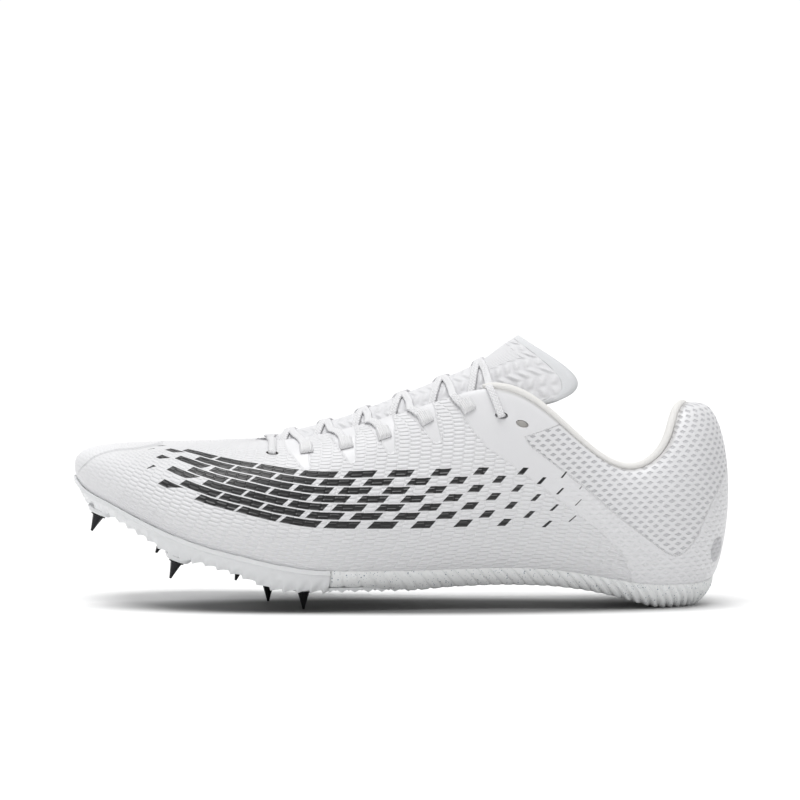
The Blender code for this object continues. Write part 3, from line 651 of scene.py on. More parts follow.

# %% [markdown]
# The film is white and slightly satin. A staggered brick pattern is pressed into it, the fingers
# and the eyestay stay smooth, the collar is a diamond mesh whose pressed-in holes are painted in
# shade, and a seam runs between them.
# Rows of dark dashes, close at the forefoot and thinning both ways, decorate the side.

# %% Finish of the upper
BRICK = 4.8
BRICK_ROW = 1.85
film, tree, surface = new_finish("coated_mesh", (0.76, 0.76, 0.775), 0.42)
round_mm, up_mm = map_pair(tree, "wall")
mesh_mm, emboss_mm = map_pair(tree, "zones")
weave_mm, level_mm = map_pair(tree, "weave")
toe_mm, below_rim_mm = map_pair(tree, "marks")
spot = tree.nodes.new("ShaderNodeTexCoord")
place_split = tree.nodes.new("ShaderNodeSeparateXYZ")
tree.links.new(spot.outputs["Object"], place_split.inputs[0])
x_mm = times(tree, place_split.outputs[0], 1000.0)


def cell(value, size):
    """How far a value lies from the middle of its cell: 0 in the middle, 1 at the edge."""
    share = sum_of(tree, "FRACT", sum_of(tree, "DIVIDE", value, size))
    return size_of(tree, sum_of(tree, "MULTIPLY_ADD", share, 2.0, -1.0))


column_number = sum_of(tree, "FLOOR", sum_of(tree, "DIVIDE", round_mm, BRICK))
stagger = times(tree, sum_of(tree, "PINGPONG", column_number, 1.0), BRICK_ROW / 2)
brick_along = cell(round_mm, BRICK)
brick_up = cell(plus(tree, up_mm, stagger), BRICK_ROW)
crown_along = ramp(tree, brick_along, 0.70, 1.0, 1.0, 0.25)
crown_up = ramp(tree, brick_up, 0.25, 0.95, 1.0, 0.0)
brick = times(tree, crown_along, crown_up)
emboss_share = times(tree, ramp(tree, emboss_mm, -0.3, 0.5),
                     ramp(tree, x_mm, -138.0, -104.0, 0.35, 1.0))
brick_height = times(tree, times(tree, brick, emboss_share), 0.34)

# %% Collar mesh and seam
DIAMOND_LONG = 4.4
DIAMOND_TALL = 4.1
LENS_LONG = 1.35
LENS_TALL = 0.72
across = sum_of(tree, "DIVIDE", weave_mm, DIAMOND_LONG)
tilted = sum_of(tree, "MULTIPLY_ADD", weave_mm, -0.05, level_mm)
rising = sum_of(tree, "DIVIDE", tilted, DIAMOND_TALL)
first_way = sum_of(tree, "FRACT", plus(tree, across, rising))
second_way = sum_of(tree, "FRACT", minus(tree, across, rising))
off_across = size_of(tree, minus(tree, plus(tree, first_way, second_way), 1.0))
off_up = size_of(tree, minus(tree, first_way, second_way))
lens = plus(tree, times(tree, off_across, DIAMOND_LONG / 2 / LENS_LONG),
            times(tree, off_up, DIAMOND_TALL / 2 / LENS_TALL))
from_middle = size_of(tree, times(tree, place_split.outputs["Y"], 1000.0))
at_back = ramp(tree, x_mm, 120.0, 124.0)
back_seam = times(tree, at_back, ramp(tree, from_middle, 0.7, 1.1, 1.0, 0.0))
mesh_share = times(tree, ramp(tree, mesh_mm, -0.2, 0.4), minus(tree, 1.0, back_seam))
dimple = ramp(tree, lens, 0.2, 1.7, 1.0, 0.0)
hole_share = times(tree, ramp(tree, lens, 0.80, 1.20, 1.0, 0.0), mesh_share)
seam_band = size_of(tree, plus(tree, mesh_mm, 0.1))
stitch_gap = cell(round_mm, 2.0)
stitch = times(tree, ramp(tree, seam_band, 0.15, 0.4, 1.0, 0.0),
               ramp(tree, stitch_gap, 0.45, 0.7, 1.0, 0.0))
fold_line = ramp(tree, size_of(tree, mesh_mm), 0.1, 0.45, 1.0, 0.0)
toe_line = ramp(tree, toe_mm, 0.15, 0.6, 1.0, 0.0)
film_edge = ramp(tree, size_of(tree, emboss_mm), 0.15, 0.6, 1.0, 0.0)
print("diamonds", DIAMOND_LONG, "by", DIAMOND_TALL, "mm")

# %% Dashes on the side
DASH_ROW = 3.7
FIRST_ROW = 5
LAST_DASH_ROW = 11
DASH = 19.0
dash_row = sum_of(tree, "FLOOR", sum_of(tree, "DIVIDE", up_mm, DASH_ROW))
row_rise = cell(up_mm, DASH_ROW)
shift = times(tree, sum_of(tree, "FRACT", times(tree, dash_row, 0.618)), DASH)
slanted = sum_of(tree, "MULTIPLY_ADD", up_mm, -0.7, round_mm)
dash_place = sum_of(tree, "FRACT", sum_of(tree, "DIVIDE", plus(tree, slanted, shift), DASH))
fading = times(tree, ramp(tree, x_mm, -70.0, 92.0, 0.94, 0.0), ramp(tree, x_mm, -112.0, -76.0))
dash_share = ramp(tree, minus(tree, fading, dash_place), -0.012, 0.012)
row_share = ramp(tree, row_rise, 0.80, 0.88, 1.0, 0.0)
from_first = ramp(tree, dash_row, FIRST_ROW - 0.6, FIRST_ROW - 0.4)
to_last = ramp(tree, dash_row, LAST_DASH_ROW + 0.4, LAST_DASH_ROW + 0.6, 1.0, 0.0)
ink = times(tree, times(tree, dash_share, row_share),
            times(tree, from_first, to_last))
ink = times(tree, ink, ramp(tree, x_mm, 78.0, 78.4, 1.0, 0.0))
print("dash rows", LAST_DASH_ROW - FIRST_ROW + 1, "of dashes up to", DASH, "mm long")

# %% Heel disc, colours and relief of the upper
disc_offset = tree.nodes.new("ShaderNodeVectorMath")
disc_offset.operation = "DISTANCE"
tree.links.new(spot.outputs["Object"], disc_offset.inputs[0])
disc_offset.inputs[1].default_value = HEEL_DISC
disc_mm = times(tree, disc_offset.outputs["Value"], 1000.0)
disc_share = ramp(tree, disc_mm, DISC_RADIUS - 0.2, DISC_RADIUS + 0.2, 1.0, 0.0)
# Painted shade: the collar mesh's holes are painted grey for the shade inside them, darker towards the
# front.
painted_hole_shade = blend_colour(tree, ramp(tree, x_mm, 68.0, 112.0), (0.47, 0.47, 0.49), (0.56, 0.56, 0.58))
colour = blend_colour(tree, hole_share, (0.76, 0.76, 0.775), painted_hole_shade)
colour = blend_colour(tree, times(tree, toe_line, 0.45), colour, (0.45, 0.45, 0.47))
# Painted shade: a dark band within about 2 mm below the rim, from x = 36 mm back to the heel, stands in
# for the shadow under the binding.
painted_shade_under_binding = times(tree, ramp(tree, below_rim_mm, 0.6, 2.4, 1.0, 0.0), ramp(tree, x_mm, 36.0, 46.0))
colour = blend_colour(tree, times(tree, painted_shade_under_binding, 0.55), colour, (0.34, 0.33, 0.32))
colour = blend_colour(tree, disc_share, colour, (0.50, 0.50, 0.52))
colour = blend_colour(tree, ink, colour, (0.006, 0.006, 0.007))
paint(tree, surface, colour)
outside_mesh = ramp(tree, mesh_mm, -1.6, -0.4, 1.0, 0.0)
counter_dimple = times(tree, times(tree, dimple, outside_mesh),
                       times(tree, ramp(tree, x_mm, 58.0, 96.0), -0.34))
film_step = times(tree, times(tree, film_edge, outside_mesh), 0.20)
parts_of_height = (
    brick_height, counter_dimple, film_step,
    times(tree, hole_share, -0.32),
    times(tree, stitch, 0.30),
    times(tree, fold_line, -0.35),
    times(tree, toe_line, -0.40),
    times(tree, disc_share, 0.20),
    times(tree, noise(tree, 900.0), 0.05),
    times(tree, noise(tree, 90.0, 3.0), 0.12),
)
height = parts_of_height[0]
for part_of_height in parts_of_height[1:]:
    height = plus(tree, height, part_of_height)
relief(tree, surface, height)
gloss = ramp(tree, ink, 0.0, 1.0, 0.42, 0.30)
tree.links.new(plus(tree, gloss, times(tree, hole_share, 0.3)),
               surface.inputs["Roughness"])
adjust(surface, {"Coat Weight": 0.12, "Coat Roughness": 0.35,
                 "Subsurface Weight": 0.06, "Subsurface Radius": (0.002, 0.002, 0.002)})
lining, tree, surface = new_finish("coated_mesh_lining", (0.72, 0.72, 0.72), 0.9)
grain(tree, surface, 1500.0, 0.25)

# %% Wall, lining and lace holes
# The dark finish on the walls of holes 0, 6 and 7 is painted shade, for the shade seen inside them.
painted_shade_hole_wall, _, _ = new_finish("coated_mesh_hole_wall_painted_shade", (0.26, 0.25, 0.24), 0.8)
shell = show("upper_shell", shell_shape, (film, lining, painted_shade_hole_wall))
wall = shell.modifiers.new("wall", "SOLIDIFY")
wall.thickness = WALL
wall.offset = -1
wall.use_even_offset = True
wall.material_offset = 1
wall.material_offset_rim = 0
punch = shell.modifiers.new("lace holes", "BOOLEAN")
punch.operation = "DIFFERENCE"
punch.solver = "EXACT"
punch.object = cutter
bpy.context.view_layer.update()
graph = bpy.context.evaluated_depsgraph_get()
punched = bpy.data.meshes.new_from_object(shell.evaluated_get(graph))
shell.modifiers.clear()
shell.data = punched
shell.data.set_sharp_from_angle(angle=math.radians(50))
bpy.data.objects.remove(cutter)
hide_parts("upper")
print("upper shell", triangles(shell), "triangles")

# %% [markdown]
# A knitted binding rolls over the collar's edge. It is a tube swept along the rim, fuller than
# round, with a fuzzy knit surface. Its ends tuck under the eyestay at the throat.

# %% Collar binding
BINDING_START = 9.9
BINDING_WIDTH = 0.0042
BINDING_HEIGHT = 0.0032
BINDING_STEPS = 300
BINDING_SIDES = 20
BINDING_EASE = 40


def rim_frame(station):
    """Rim point, direction along the rim, up the wall and out of it."""
    here = wall_profile(station, (0.97, 1.0))
    along = wall_profile(station + 0.05, (1.0,))[0] - wall_profile(station - 0.05, (1.0,))[0]
    along /= np.linalg.norm(along)
    up = here[1] - here[0]
    up -= along * up.dot(along)
    up /= np.linalg.norm(up)
    return here[1], along, up, np.cross(along, up)


def tube_grid(rings):
    """Closed tube through rings of points, with distance along and around kept in a UV map."""
    rings = np.array(rings)
    closed = np.concatenate((rings, rings[:, :1]), axis=1)
    strides = np.linalg.norm(np.diff(rings.mean(axis=1), axis=0), axis=1)
    along = np.concatenate(([0.0], np.cumsum(strides)))
    girth = np.linalg.norm(np.diff(closed, axis=1), axis=2)
    around = np.concatenate((np.zeros((len(rings), 1)), np.cumsum(girth, axis=1)), axis=1)
    chart = np.stack((np.repeat(along[:, None], closed.shape[1], axis=1).ravel(), around.ravel()), axis=1)
    shape = laid_grid(len(rings) - 1, closed.shape[1] - 1, closed, {"wall": chart})
    bmesh.ops.remove_doubles(shape, verts=[c for c in shape.verts if c.is_boundary], dist=1e-7)
    bmesh.ops.holes_fill(shape, edges=[e for e in shape.edges if e.is_boundary], sides=0)
    bmesh.ops.recalc_face_normals(shape, faces=shape.faces)
    return shape


binding_stations = np.linspace(BINDING_START, RING_ROWS - BINDING_START, BINDING_STEPS)
frames = np.array([rim_frame(station) for station in binding_stations])
for _ in range(BINDING_EASE):
    frames[1:-1] = frames[1:-1] * 0.5 + (frames[:-2] + frames[2:]) * 0.25
rings = []
for station, (rim, along, up, out) in zip(binding_stations, frames):
    up = up / np.linalg.norm(up)
    out = out - up * out.dot(up)
    out = out / np.linalg.norm(out)
    from_end = min(station - BINDING_START, RING_ROWS - BINDING_START - station)
    size = 0.35 + 0.65 * math.sqrt(min(1.0, from_end / 0.25))
    centre = rim - out * WALL / 2 + up * (FIT + BINDING_HEIGHT / 2)
    ring_of_points = []
    for k in range(BINDING_SIDES):
        angle = 2 * math.pi * k / BINDING_SIDES
        ring_of_points.append(centre + size * (out * BINDING_WIDTH / 2 * math.cos(angle)
                                               + up * (BINDING_HEIGHT / 2 + FIT) * math.sin(angle)))
    rings.append(ring_of_points)
knit, tree, surface = new_finish("binding_knit", (0.84, 0.83, 0.81), 0.9)
along_mm, around_mm = map_pair(tree, "wall")
rib = cell(plus(tree, along_mm, times(tree, around_mm, 0.4)), 0.55)
height = plus(tree, times(tree, rib, -0.06), times(tree, noise(tree, 2500.0), 0.14))
relief(tree, surface, height)
surface.inputs["Sheen Weight"].default_value = 0.4
binding = show("knit_binding", tube_grid(rings), (knit,))
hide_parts("collar_binding")
print("binding", triangles(binding), "triangles")

# %% [markdown]
# The tongue is quilted mesh over thin padding, arched over the instep. Its crest, half width,
# fall and trailing sides come from the same table as the solid, taken in finer steps. Zigzag
# quilting sinks into it, with a plain border and a ribbed label patch near the end.

# %% Tongue
TONGUE_THICKNESS = 0.0036
TONGUE_TURN = math.radians(80)
TONGUE_LOBE = 0.62
TONGUE_COLUMNS = ("along", "ridge", "half", "fall", "back")
TONGUE = (
    (0.262, 0.690, 0.30, 0.049, 0.000),
    (0.290, 0.705, 0.33, 0.067, 0.004),
    (0.325, 0.765, 0.35, 0.124, 0.008),
    (0.375, 0.802, 0.39, 0.161, 0.012),
    (0.430, 0.848, 0.42, 0.191, 0.018),
    (0.500, 0.926, 0.45, 0.235, 0.026),
    (0.565, 1.000, 0.47, 0.262, 0.038),
    (0.630, 1.081, 0.47, 0.272, 0.055),
    (0.672, 1.165, 0.475, 0.275, 0.095),
    (0.700, 1.217, 0.465, 0.285, 0.152),
)
TONGUE_STEPS = 150
TONGUE_ACROSS = 60
shares = column(TONGUE, TONGUE_COLUMNS, "along")
fine = np.linspace(shares[0], shares[-1], TONGUE_STEPS)
tongue_rows = np.stack([monotone(shares, column(TONGUE, TONGUE_COLUMNS, name), fine)
                        for name in TONGUE_COLUMNS], axis=1)


def tongue_arc(row, depth):
    """One arched line across the tongue, a depth below its outer face."""
    along, ridge, half, fall, back = row
    reach = THROAT_WIDTH * half - depth
    arc = []
    for share in np.linspace(-1, 1, TONGUE_ACROSS + 1):
        angle = share * TONGUE_TURN
        drop = (1 - math.cos(angle)) / (1 - math.cos(TONGUE_TURN))
        arc.append((float(place(along)) + LENGTH * back * (drop - TONGUE_LOBE * drop ** 4),
                    reach * math.sin(angle) / math.sin(TONGUE_TURN),
                    INSTEP_HEIGHT * (ridge - fall * drop) - depth * (1 - 0.7 * drop)))
    return arc


rings = []
for i, row in enumerate(tongue_rows):
    from_end = (len(tongue_rows) - 1 - i) * 0.44 * seam_length / TONGUE_STEPS
    swell = math.sqrt(max(0.0, 1 - (1 - min(1.0, from_end / 0.0018)) ** 2))
    middle = TONGUE_THICKNESS / 2
    outer_arc = np.array(tongue_arc(row, middle - middle * max(swell, 0.12)))
    inner_arc = np.array(tongue_arc(row, middle + middle * max(swell, 0.12)))
    rings.append(np.concatenate((outer_arc, inner_arc[::-1])))
tongue_points = np.array(rings)
quilt, tree, surface = new_finish("tongue_mesh", (0.77, 0.77, 0.785), 0.8)
along_mm, around_mm = map_pair(tree, "wall")
ZIGZAG = 5.4
ZIGZAG_ROW = 4.2
across_strides = np.linalg.norm(np.diff(tongue_points[100], axis=0), axis=1)
half_girth = 1000 * float(across_strides[:TONGUE_ACROSS].sum()) / 2
from_crest = size_of(tree, minus(tree, around_mm, half_girth))
zig = times(tree, cell(around_mm, ZIGZAG * 2), 2.6)
quilt_line = cell(plus(tree, along_mm, zig), ZIGZAG_ROW)
pad_across = cell(around_mm, ZIGZAG)
puff = times(tree, ramp(tree, quilt_line, 0.0, 1.0, 1.0, 0.0),
             ramp(tree, pad_across, 0.2, 1.0, 1.0, 0.35))
long_strides = np.linalg.norm(np.diff(tongue_points.mean(axis=1), axis=0), axis=1)
TONGUE_LONG = 1000 * float(long_strides.sum())
border = sum_of(tree, "MAXIMUM", ramp(tree, along_mm, TONGUE_LONG - 5.6, TONGUE_LONG - 5.2),
                ramp(tree, from_crest, half_girth - 3.6, half_girth - 3.2))
in_patch = times(tree, ramp(tree, along_mm, TONGUE_LONG - 34.0, TONGUE_LONG - 33.4),
                 ramp(tree, along_mm, TONGUE_LONG - 11.6, TONGUE_LONG - 11.0, 1.0, 0.0))
patch = times(tree, in_patch, ramp(tree, from_crest, 9.0, 9.5, 1.0, 0.0))
plain = sum_of(tree, "MAXIMUM", border, patch)
quilted = minus(tree, 1.0, plain)
patch_rib = cell(around_mm, 0.9)
height = times(tree, times(tree, puff, quilted), 0.60)
height = plus(tree, height, times(tree, times(tree, patch_rib, patch), -0.15))
height = plus(tree, height, times(tree, plain, 0.35))
height = plus(tree, height, times(tree, noise(tree, 1600.0), 0.16))
relief(tree, surface, height)
shade = times(tree, minus(tree, 1.0, puff), quilted)
colour = blend_colour(tree, times(tree, shade, 0.30), (0.77, 0.77, 0.785), (0.66, 0.66, 0.68))
paint(tree, surface, blend_colour(tree, border, colour, (0.71, 0.72, 0.735)))
surface.inputs["Sheen Weight"].default_value = 0.2
tongue = show("quilted_tongue", tube_grid(rings), (quilt,))
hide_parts("tongue")
print("tongue", triangles(tongue), "triangles,", round(TONGUE_LONG), "mm long")

# %% [markdown]
# The insole is a cloth-faced foam sheet that fills the floor of the shoe. It thins to about half
# its thickness at the edge, which stops just inside the wall.

# %% Insole
INSOLE_THICKNESS = 0.0030
INSOLE_INSET = 0.0012
INSOLE_REST = 0.0006
INSOLE_STEPS = 160
INSOLE_ACROSS = 24


def sole_edges(station, inset):
    outer = seam_point(station, inset)[0]
    inner = seam_point(RING_ROWS - station, inset)[0]
    return outer, inner


rings = []
for station in np.linspace(0.3, LAST_ROW - 0.2, INSOLE_STEPS):
    outer, inner = sole_edges(station, WALL + INSOLE_INSET)
    ring_of_points = []
    for rise, order in ((0.0, 1), (1.0, -1)):
        for share in np.linspace(0, 1, INSOLE_ACROSS)[::order]:
            x, y = outer + (inner - outer) * share
            edge = min(share, 1 - share) * np.linalg.norm(inner - outer)
            thick = INSOLE_THICKNESS * (0.55 + 0.45 * min(1.0, edge / 0.002) ** 0.5)
            ring_of_points.append((x, y, float(seam_height(x)) + INSOLE_REST + rise * thick))
    rings.append(ring_of_points)
cloth, tree, surface = new_finish("insole_cloth", (0.62, 0.63, 0.64), 0.95)
grain(tree, surface, 1800.0, 0.3)
insole = show("cloth_insole", tube_grid(rings), (cloth,))
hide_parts("insole")
print("insole", triangles(insole), "triangles")

# %% [markdown]
# The midsole is moulded foam full of regrind specks. Slanting ribs run down its side, so its
# rings lean back as they go down and every few millimetres they sink into a groove.

# %% Midsole
FOAM_FRONT = 0.405
TAIL_END = 0.690
FOAM_LIP = 0.0006
SEAM_GAP = 0.00005
LIP_RISE = 0.0004
FOAM_INSET = 0.0050
RIB_DEPTH = 0.0014
RIB_PITCH = 0.0056
HEEL_RIB_PITCH = 0.0039
RIB_LEAN = 0.0066
RIB_FADE = 0.0280
TAIL_THICKNESS = 0.0016
ARCH_RISE = 0.0028
FOAM_STEP = 0.0005
FRONT_ROUND = 0.0008
TAIL_WIDE = 0.98
TAIL_NARROW = 0.45
POCKET_MARGIN = 0.12
POCKET_SLOPE = 0.10


def arch(x):
    """Rise of the inner edge under the waist."""
    share = np.clip((x - float(place(0.42))) / (seam_length * 0.40), 0, 1)
    return ARCH_RISE * np.sin(math.pi * share) ** 2


def sole_bottom(x, across):
    """Underside height; across runs from -1 at the outer edge to 1 at the inner edge."""
    return float(underside(x) + arch(x) * max(0.0, across) ** 1.5)


def between(outer, inner, across):
    """Point between two edge points seen from above; across runs from -1 to 1."""
    outer, inner = np.array(outer[:2]), np.array(inner[:2])
    return outer + (inner - outer) * (across + 1) / 2


def station_at(share, side):
    """Station where the seam reaches a share of its length, on one side."""
    along = column(LAST, LAST_COLUMNS, "along")
    return on_side(float(np.interp(share, along, np.arange(len(along)))), side)


def outer_stations(start, end, pitch):
    """Stations a pitch apart along the outer seam."""
    low, high = knot_of(start), knot_of(end)
    knots = np.linspace(low, high, max(2, round((high - low) / pitch)) + 1)
    return outer_station(knots)


def pocket(x, across):
    """Depth of the foam's pocket for the plate's tail, which narrows as it runs back."""
    front, back = float(place(FOAM_FRONT)), float(place(TAIL_END))
    run = min(1.0, max(0.0, (x - front) / (back - front)))
    width = TAIL_WIDE + (TAIL_NARROW - TAIL_WIDE) * run ** 2
    share = min(1.0, max(0.0, (width + POCKET_MARGIN - abs(across)) / POCKET_SLOPE))
    return (TAIL_THICKNESS + SEAM_GAP) * share if x < recess_end else 0.0


front_knot = knot_of(station_at(FOAM_FRONT, "outer"))
RIB_RUN = (ring_knots[LAST_ROW] - front_knot) / (HEEL_RIB_PITCH - RIB_PITCH)
recess_end = float(place(TAIL_END + 0.006))
rings = []
for station in outer_stations(station_at(FOAM_FRONT, "outer"), LAST_ROW - 0.10, FOAM_STEP):
    knot = knot_of(station)
    to_heel = ring_knots[LAST_ROW] - knot
    fade = min(1.0, to_heel / RIB_FADE, (knot - front_knot) / RIB_FADE)
    lean = RIB_LEAN * (0.35 + 0.65 * max(0.0, fade))
    if to_heel < RIB_FADE:
        lean = RIB_LEAN * fade
    if knot - front_knot < 0.012:
        lean *= (knot - front_knot) / 0.012
    rounding = 1 - math.sqrt(1 - (1 - min(1.0, (knot - front_knot) / FRONT_ROUND)) ** 2)
    back = (knot - front_knot) / (ring_knots[LAST_ROW] - front_knot)
    ribs = math.log(1 + (HEEL_RIB_PITCH / RIB_PITCH - 1) * back) * RIB_RUN
    deep = min(1.0, max(0.12, (back - 0.35) / 0.35))
    wave = 0.5 + 0.5 * math.cos(2 * math.pi * ribs)
    groove = RIB_DEPTH * (0.35 + 0.65 * deep) * wave ** (7 - 5.4 * deep)
    sides = {}
    for side in ("outer", "inner"):
        seam_x, seam_y = seam_point(on_side(station, side), rounding * FRONT_ROUND - 0.0001)[0]
        line = [(seam_x, seam_y, float(seam_height(seam_x)) - SEAM_GAP)]
        for share in np.linspace(0, 1, 13):
            at = on_side(float(outer_station(knot + lean * share)), side)
            cut = groove * min(1.0, share / 0.15)
            inset = -FOAM_LIP + (FOAM_INSET + FOAM_LIP) * share ** 2.4 + cut + rounding * FRONT_ROUND
            x, y = seam_point(at, inset)[0]
            edge_x = seam_point(at, FOAM_INSET)[0][0]
            high = float(seam_height(seam_point(at)[0][0])) - SEAM_GAP
            low = sole_bottom(edge_x, 1.0 if side == "inner" else -1.0) + groove * 0.8
            low += pocket(edge_x, 1.0)
            top = high + LIP_RISE * (1 - rounding)
            line.append((x, y, top + (low - top) * (share + rounding * 0.25 * (1 - 2 * share))))
        sides[side] = line
    outer, inner = sides["outer"], sides["inner"]
    ring_of_points = list(outer)
    for across in np.linspace(-0.92, 0.92, 24):
        x, y = between(outer[-1], inner[-1], across)
        low = sole_bottom(x, across) + pocket(x, across)
        ring_of_points.append((x, y, low + rounding * 0.002))
    ring_of_points += inner[::-1]
    for across in np.linspace(0.8, -0.8, 5):
        x, y = between(outer[0], inner[0], across)
        ring_of_points.append((x, y, float(seam_height(x)) - FIT - rounding * 0.002))
    rings.append(ring_of_points)
foam, tree, surface = new_finish("speckled_foam", (0.88, 0.89, 0.89), 0.75)
spot = tree.nodes.new("ShaderNodeTexCoord")
speck_share = None
for size, keep, reach in ((800.0, 0.86, 0.26), (1700.0, 0.86, 0.32)):
    cells = tree.nodes.new("ShaderNodeTexVoronoi")
    tree.links.new(spot.outputs["Object"], cells.inputs["Vector"])
    cells.inputs["Scale"].default_value = size
    dot = ramp(tree, cells.outputs["Distance"], reach - 0.06, reach + 0.06, 1.0, 0.0)
    parts_of_colour = tree.nodes.new("ShaderNodeSeparateColor")
    tree.links.new(cells.outputs["Color"], parts_of_colour.inputs[0])
    kept = ramp(tree, parts_of_colour.outputs[0], keep, keep + 0.02)
    dots = times(tree, dot, kept)
    speck_share = dots if speck_share is None else sum_of(tree, "MAXIMUM", speck_share, dots)
speckled = blend_colour(tree, speck_share, (0.88, 0.89, 0.89), (0.30, 0.34, 0.40))
paint(tree, surface, speckled)
grain(tree, surface, 1200.0, 0.12)
midsole = show("foam_midsole", tube_grid(rings), (foam,))
midsole.data.set_sharp_from_angle(angle=math.radians(50))
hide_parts("midsole")
print("midsole", triangles(midsole), "triangles")

# %% [markdown]
# The spike plate is a clear, stiff moulding. Its rim stands out as a lip under the upper, ridges
# wave along its flank, and rows of small teeth grip below. A thin tail runs back under the foam.

# %% Spike plate
BOSS_RADIUS = 0.0053
BOSS_DROP = 0.0016
BOSS_ROOT = 0.0030
SPIKE_RADIUS = 0.0033
SPIKE_LENGTH = 0.0079
SPIKE_FLANGE = 0.0008
SPIKE_TIP = 0.0005
SPIKES = (
    ("spike_outer_1", 0.0415, -0.015, False),
    ("spike_outer_2", 0.1700, -0.320, False),
    ("spike_outer_3", 0.3630, -0.330, True),
    ("spike_centre", 0.3040, 0.020, True),
    ("spike_inner_1", 0.0370, 0.270, False),
    ("spike_inner_2", 0.1350, 0.370, False),
    ("spike_inner_3", 0.2570, 0.370, False),
)
PLATE_INSET = 0.0034
PLATE_RIM = 0.0022
PLATE_CURL = 0.0008
TOOTH_DEPTH = 0.0020
TOOTH_PITCH = 0.0058
PLATE_STEP = 0.0005
HOLLOW = 0.0014
MOUND_RADIUS = 0.0105
LUG_DEPTH = 0.0016
FLANK_WAVE = 0.0005
LIP_STEP = 0.0013
TAIL_TREAD = 0.55
BOTTOM_SHARES = np.linspace(-1, 1, 41)


def tooth(knot, share):
    """Height of the tread below the plate: pointed teeth in staggered rows."""
    lane = (share + 1) * 5.0
    shift = 0.5 * (int(round(lane)) % 2)
    along = abs(2 * ((knot / TOOTH_PITCH + shift) % 1.0) - 1)
    across = abs(2 * ((lane + 0.5) % 1.0) - 1)
    return TOOTH_DEPTH * max(0.0, 1 - 1.5 * along) * max(0.0, 1 - 1.2 * across)


def between_bosses(x, y):
    """Rise of the underside away from the bosses, which leaves them as soft mounds."""
    nearest = min(math.hypot(x - float(place(along)) - 0.002, y - BALL_WIDTH * across)
                  for _, along, across, _ in SPIKES)
    rise = 1 - math.exp(-(nearest / MOUND_RADIUS) ** 4)
    fade = min(1.0, max(0.0, (float(place(0.36)) - x) / 0.030))
    return HOLLOW * rise * fade


def plate_ring(station):
    """Ring of the forefoot plate: top, lip, ridged flank and toothed underside."""
    knot = knot_of(station)
    ring_of_points = []
    for side, sign in (("outer", -1.0), ("inner", 1.0)):
        at = on_side(station, side)
        edge = seam_point(at)[0]
        high = float(seam_height(edge[0])) - SEAM_GAP
        seam_x, seam_y = seam_point(at, -0.0001)[0]
        flank = [(seam_x, seam_y, high)]
        for share in np.linspace(0, 1, 15):
            if share < 0.22:
                inset = -PLATE_LIP
                level = high + LIP_RISE - (PLATE_RIM + LIP_RISE) * share / 0.30
            else:
                down = (share - 0.22) / 0.78
                wave = FLANK_WAVE * math.sin(2 * math.pi * (knot / TOOTH_PITCH + 0.8 * down)) * down
                inset = -PLATE_LIP + LIP_STEP + (PLATE_INSET + PLATE_LIP - LIP_STEP) * down ** 1.7 + wave
                edge_x, edge_y = seam_point(at, PLATE_INSET)[0]
                low = sole_bottom(edge_x, sign) + PLATE_CURL + between_bosses(edge_x, edge_y)
                low -= LUG_DEPTH * (1 - (knot / TOOTH_PITCH) % 1.0) ** 1.5 * down ** 2
                top = high - PLATE_RIM * 0.8
                level = top + (low - top) * down
            x, y = seam_point(at, inset)[0]
            flank.append((x, y, level))
        ring_of_points.append(flank)
    outer, inner = ring_of_points
    low_outer, low_inner = sole_edges(station, PLATE_INSET)
    bottom = []
    for share in BOTTOM_SHARES[1:-1]:
        x, y = between(low_outer, low_inner, share)
        bottom.append((x, y, sole_bottom(x, share) + TOOTH_DEPTH / 2 + PLATE_CURL * share ** 4
                       + between_bosses(x, y) - tooth(knot, share)))
    top_line = []
    for share in np.linspace(0.9, -0.9, 7):
        x, y = between(outer[0], inner[0], share)
        top_line.append((x, y, float(seam_height(x)) - SEAM_GAP))
    return outer + bottom + inner[::-1] + top_line


def tail_ring(station, tail, count):
    """Ring of the thin tail, with as many points as the plate's rings."""
    knot = knot_of(station)
    outer, inner = sole_edges(station, PLATE_INSET)
    low_shares = np.linspace(-1, 1, count - 13)
    ring_of_points = []
    for share in low_shares:
        x, y = between(outer, inner, share * tail)
        tread = (TOOTH_DEPTH / 2 - tooth(knot, share)) * TAIL_TREAD
        ring_of_points.append((x, y, sole_bottom(x, share * tail) + tread))
    for share in np.linspace(1, -1, 13):
        x, y = between(outer, inner, share * tail)
        ring_of_points.append((x, y, sole_bottom(x, share * tail) + TAIL_THICKNESS))
    return ring_of_points


forefoot = [plate_ring(s) for s in
            outer_stations(0.12, station_at(FOAM_FRONT - 0.0006, "outer"), PLATE_STEP)]
tail_stations = outer_stations(station_at(FOAM_FRONT - 0.0004, "outer"),
                               station_at(TAIL_END, "outer"), PLATE_STEP)
tail = []
for i, station in enumerate(tail_stations):
    width = TAIL_WIDE + (TAIL_NARROW - TAIL_WIDE) * (i / (len(tail_stations) - 1)) ** 2
    tail.append(tail_ring(station, width, len(forefoot[0])))
clear, tree, surface = new_finish("clear_plate", (0.84, 0.85, 0.86), 0.30)
adjust(surface, {"Transmission Weight": 0.12, "IOR": 1.45, "Coat Weight": 0.4, "Coat Roughness": 0.2,
                 "Subsurface Weight": 0.25, "Subsurface Radius": (0.004, 0.004, 0.004)})
grain(tree, surface, 700.0, 0.10)
plate = show("clear_spike_plate", tube_grid(forefoot + tail), (clear,))
plate.data.set_sharp_from_angle(angle=math.radians(50))
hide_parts("spike_plate")
print("plate", triangles(plate), "triangles")

# %% [markdown]
# Each spike screws into a round boss of the plate. It is one turned piece: a thin flange, then a
# pyramid whose faces draw in as they near the point.

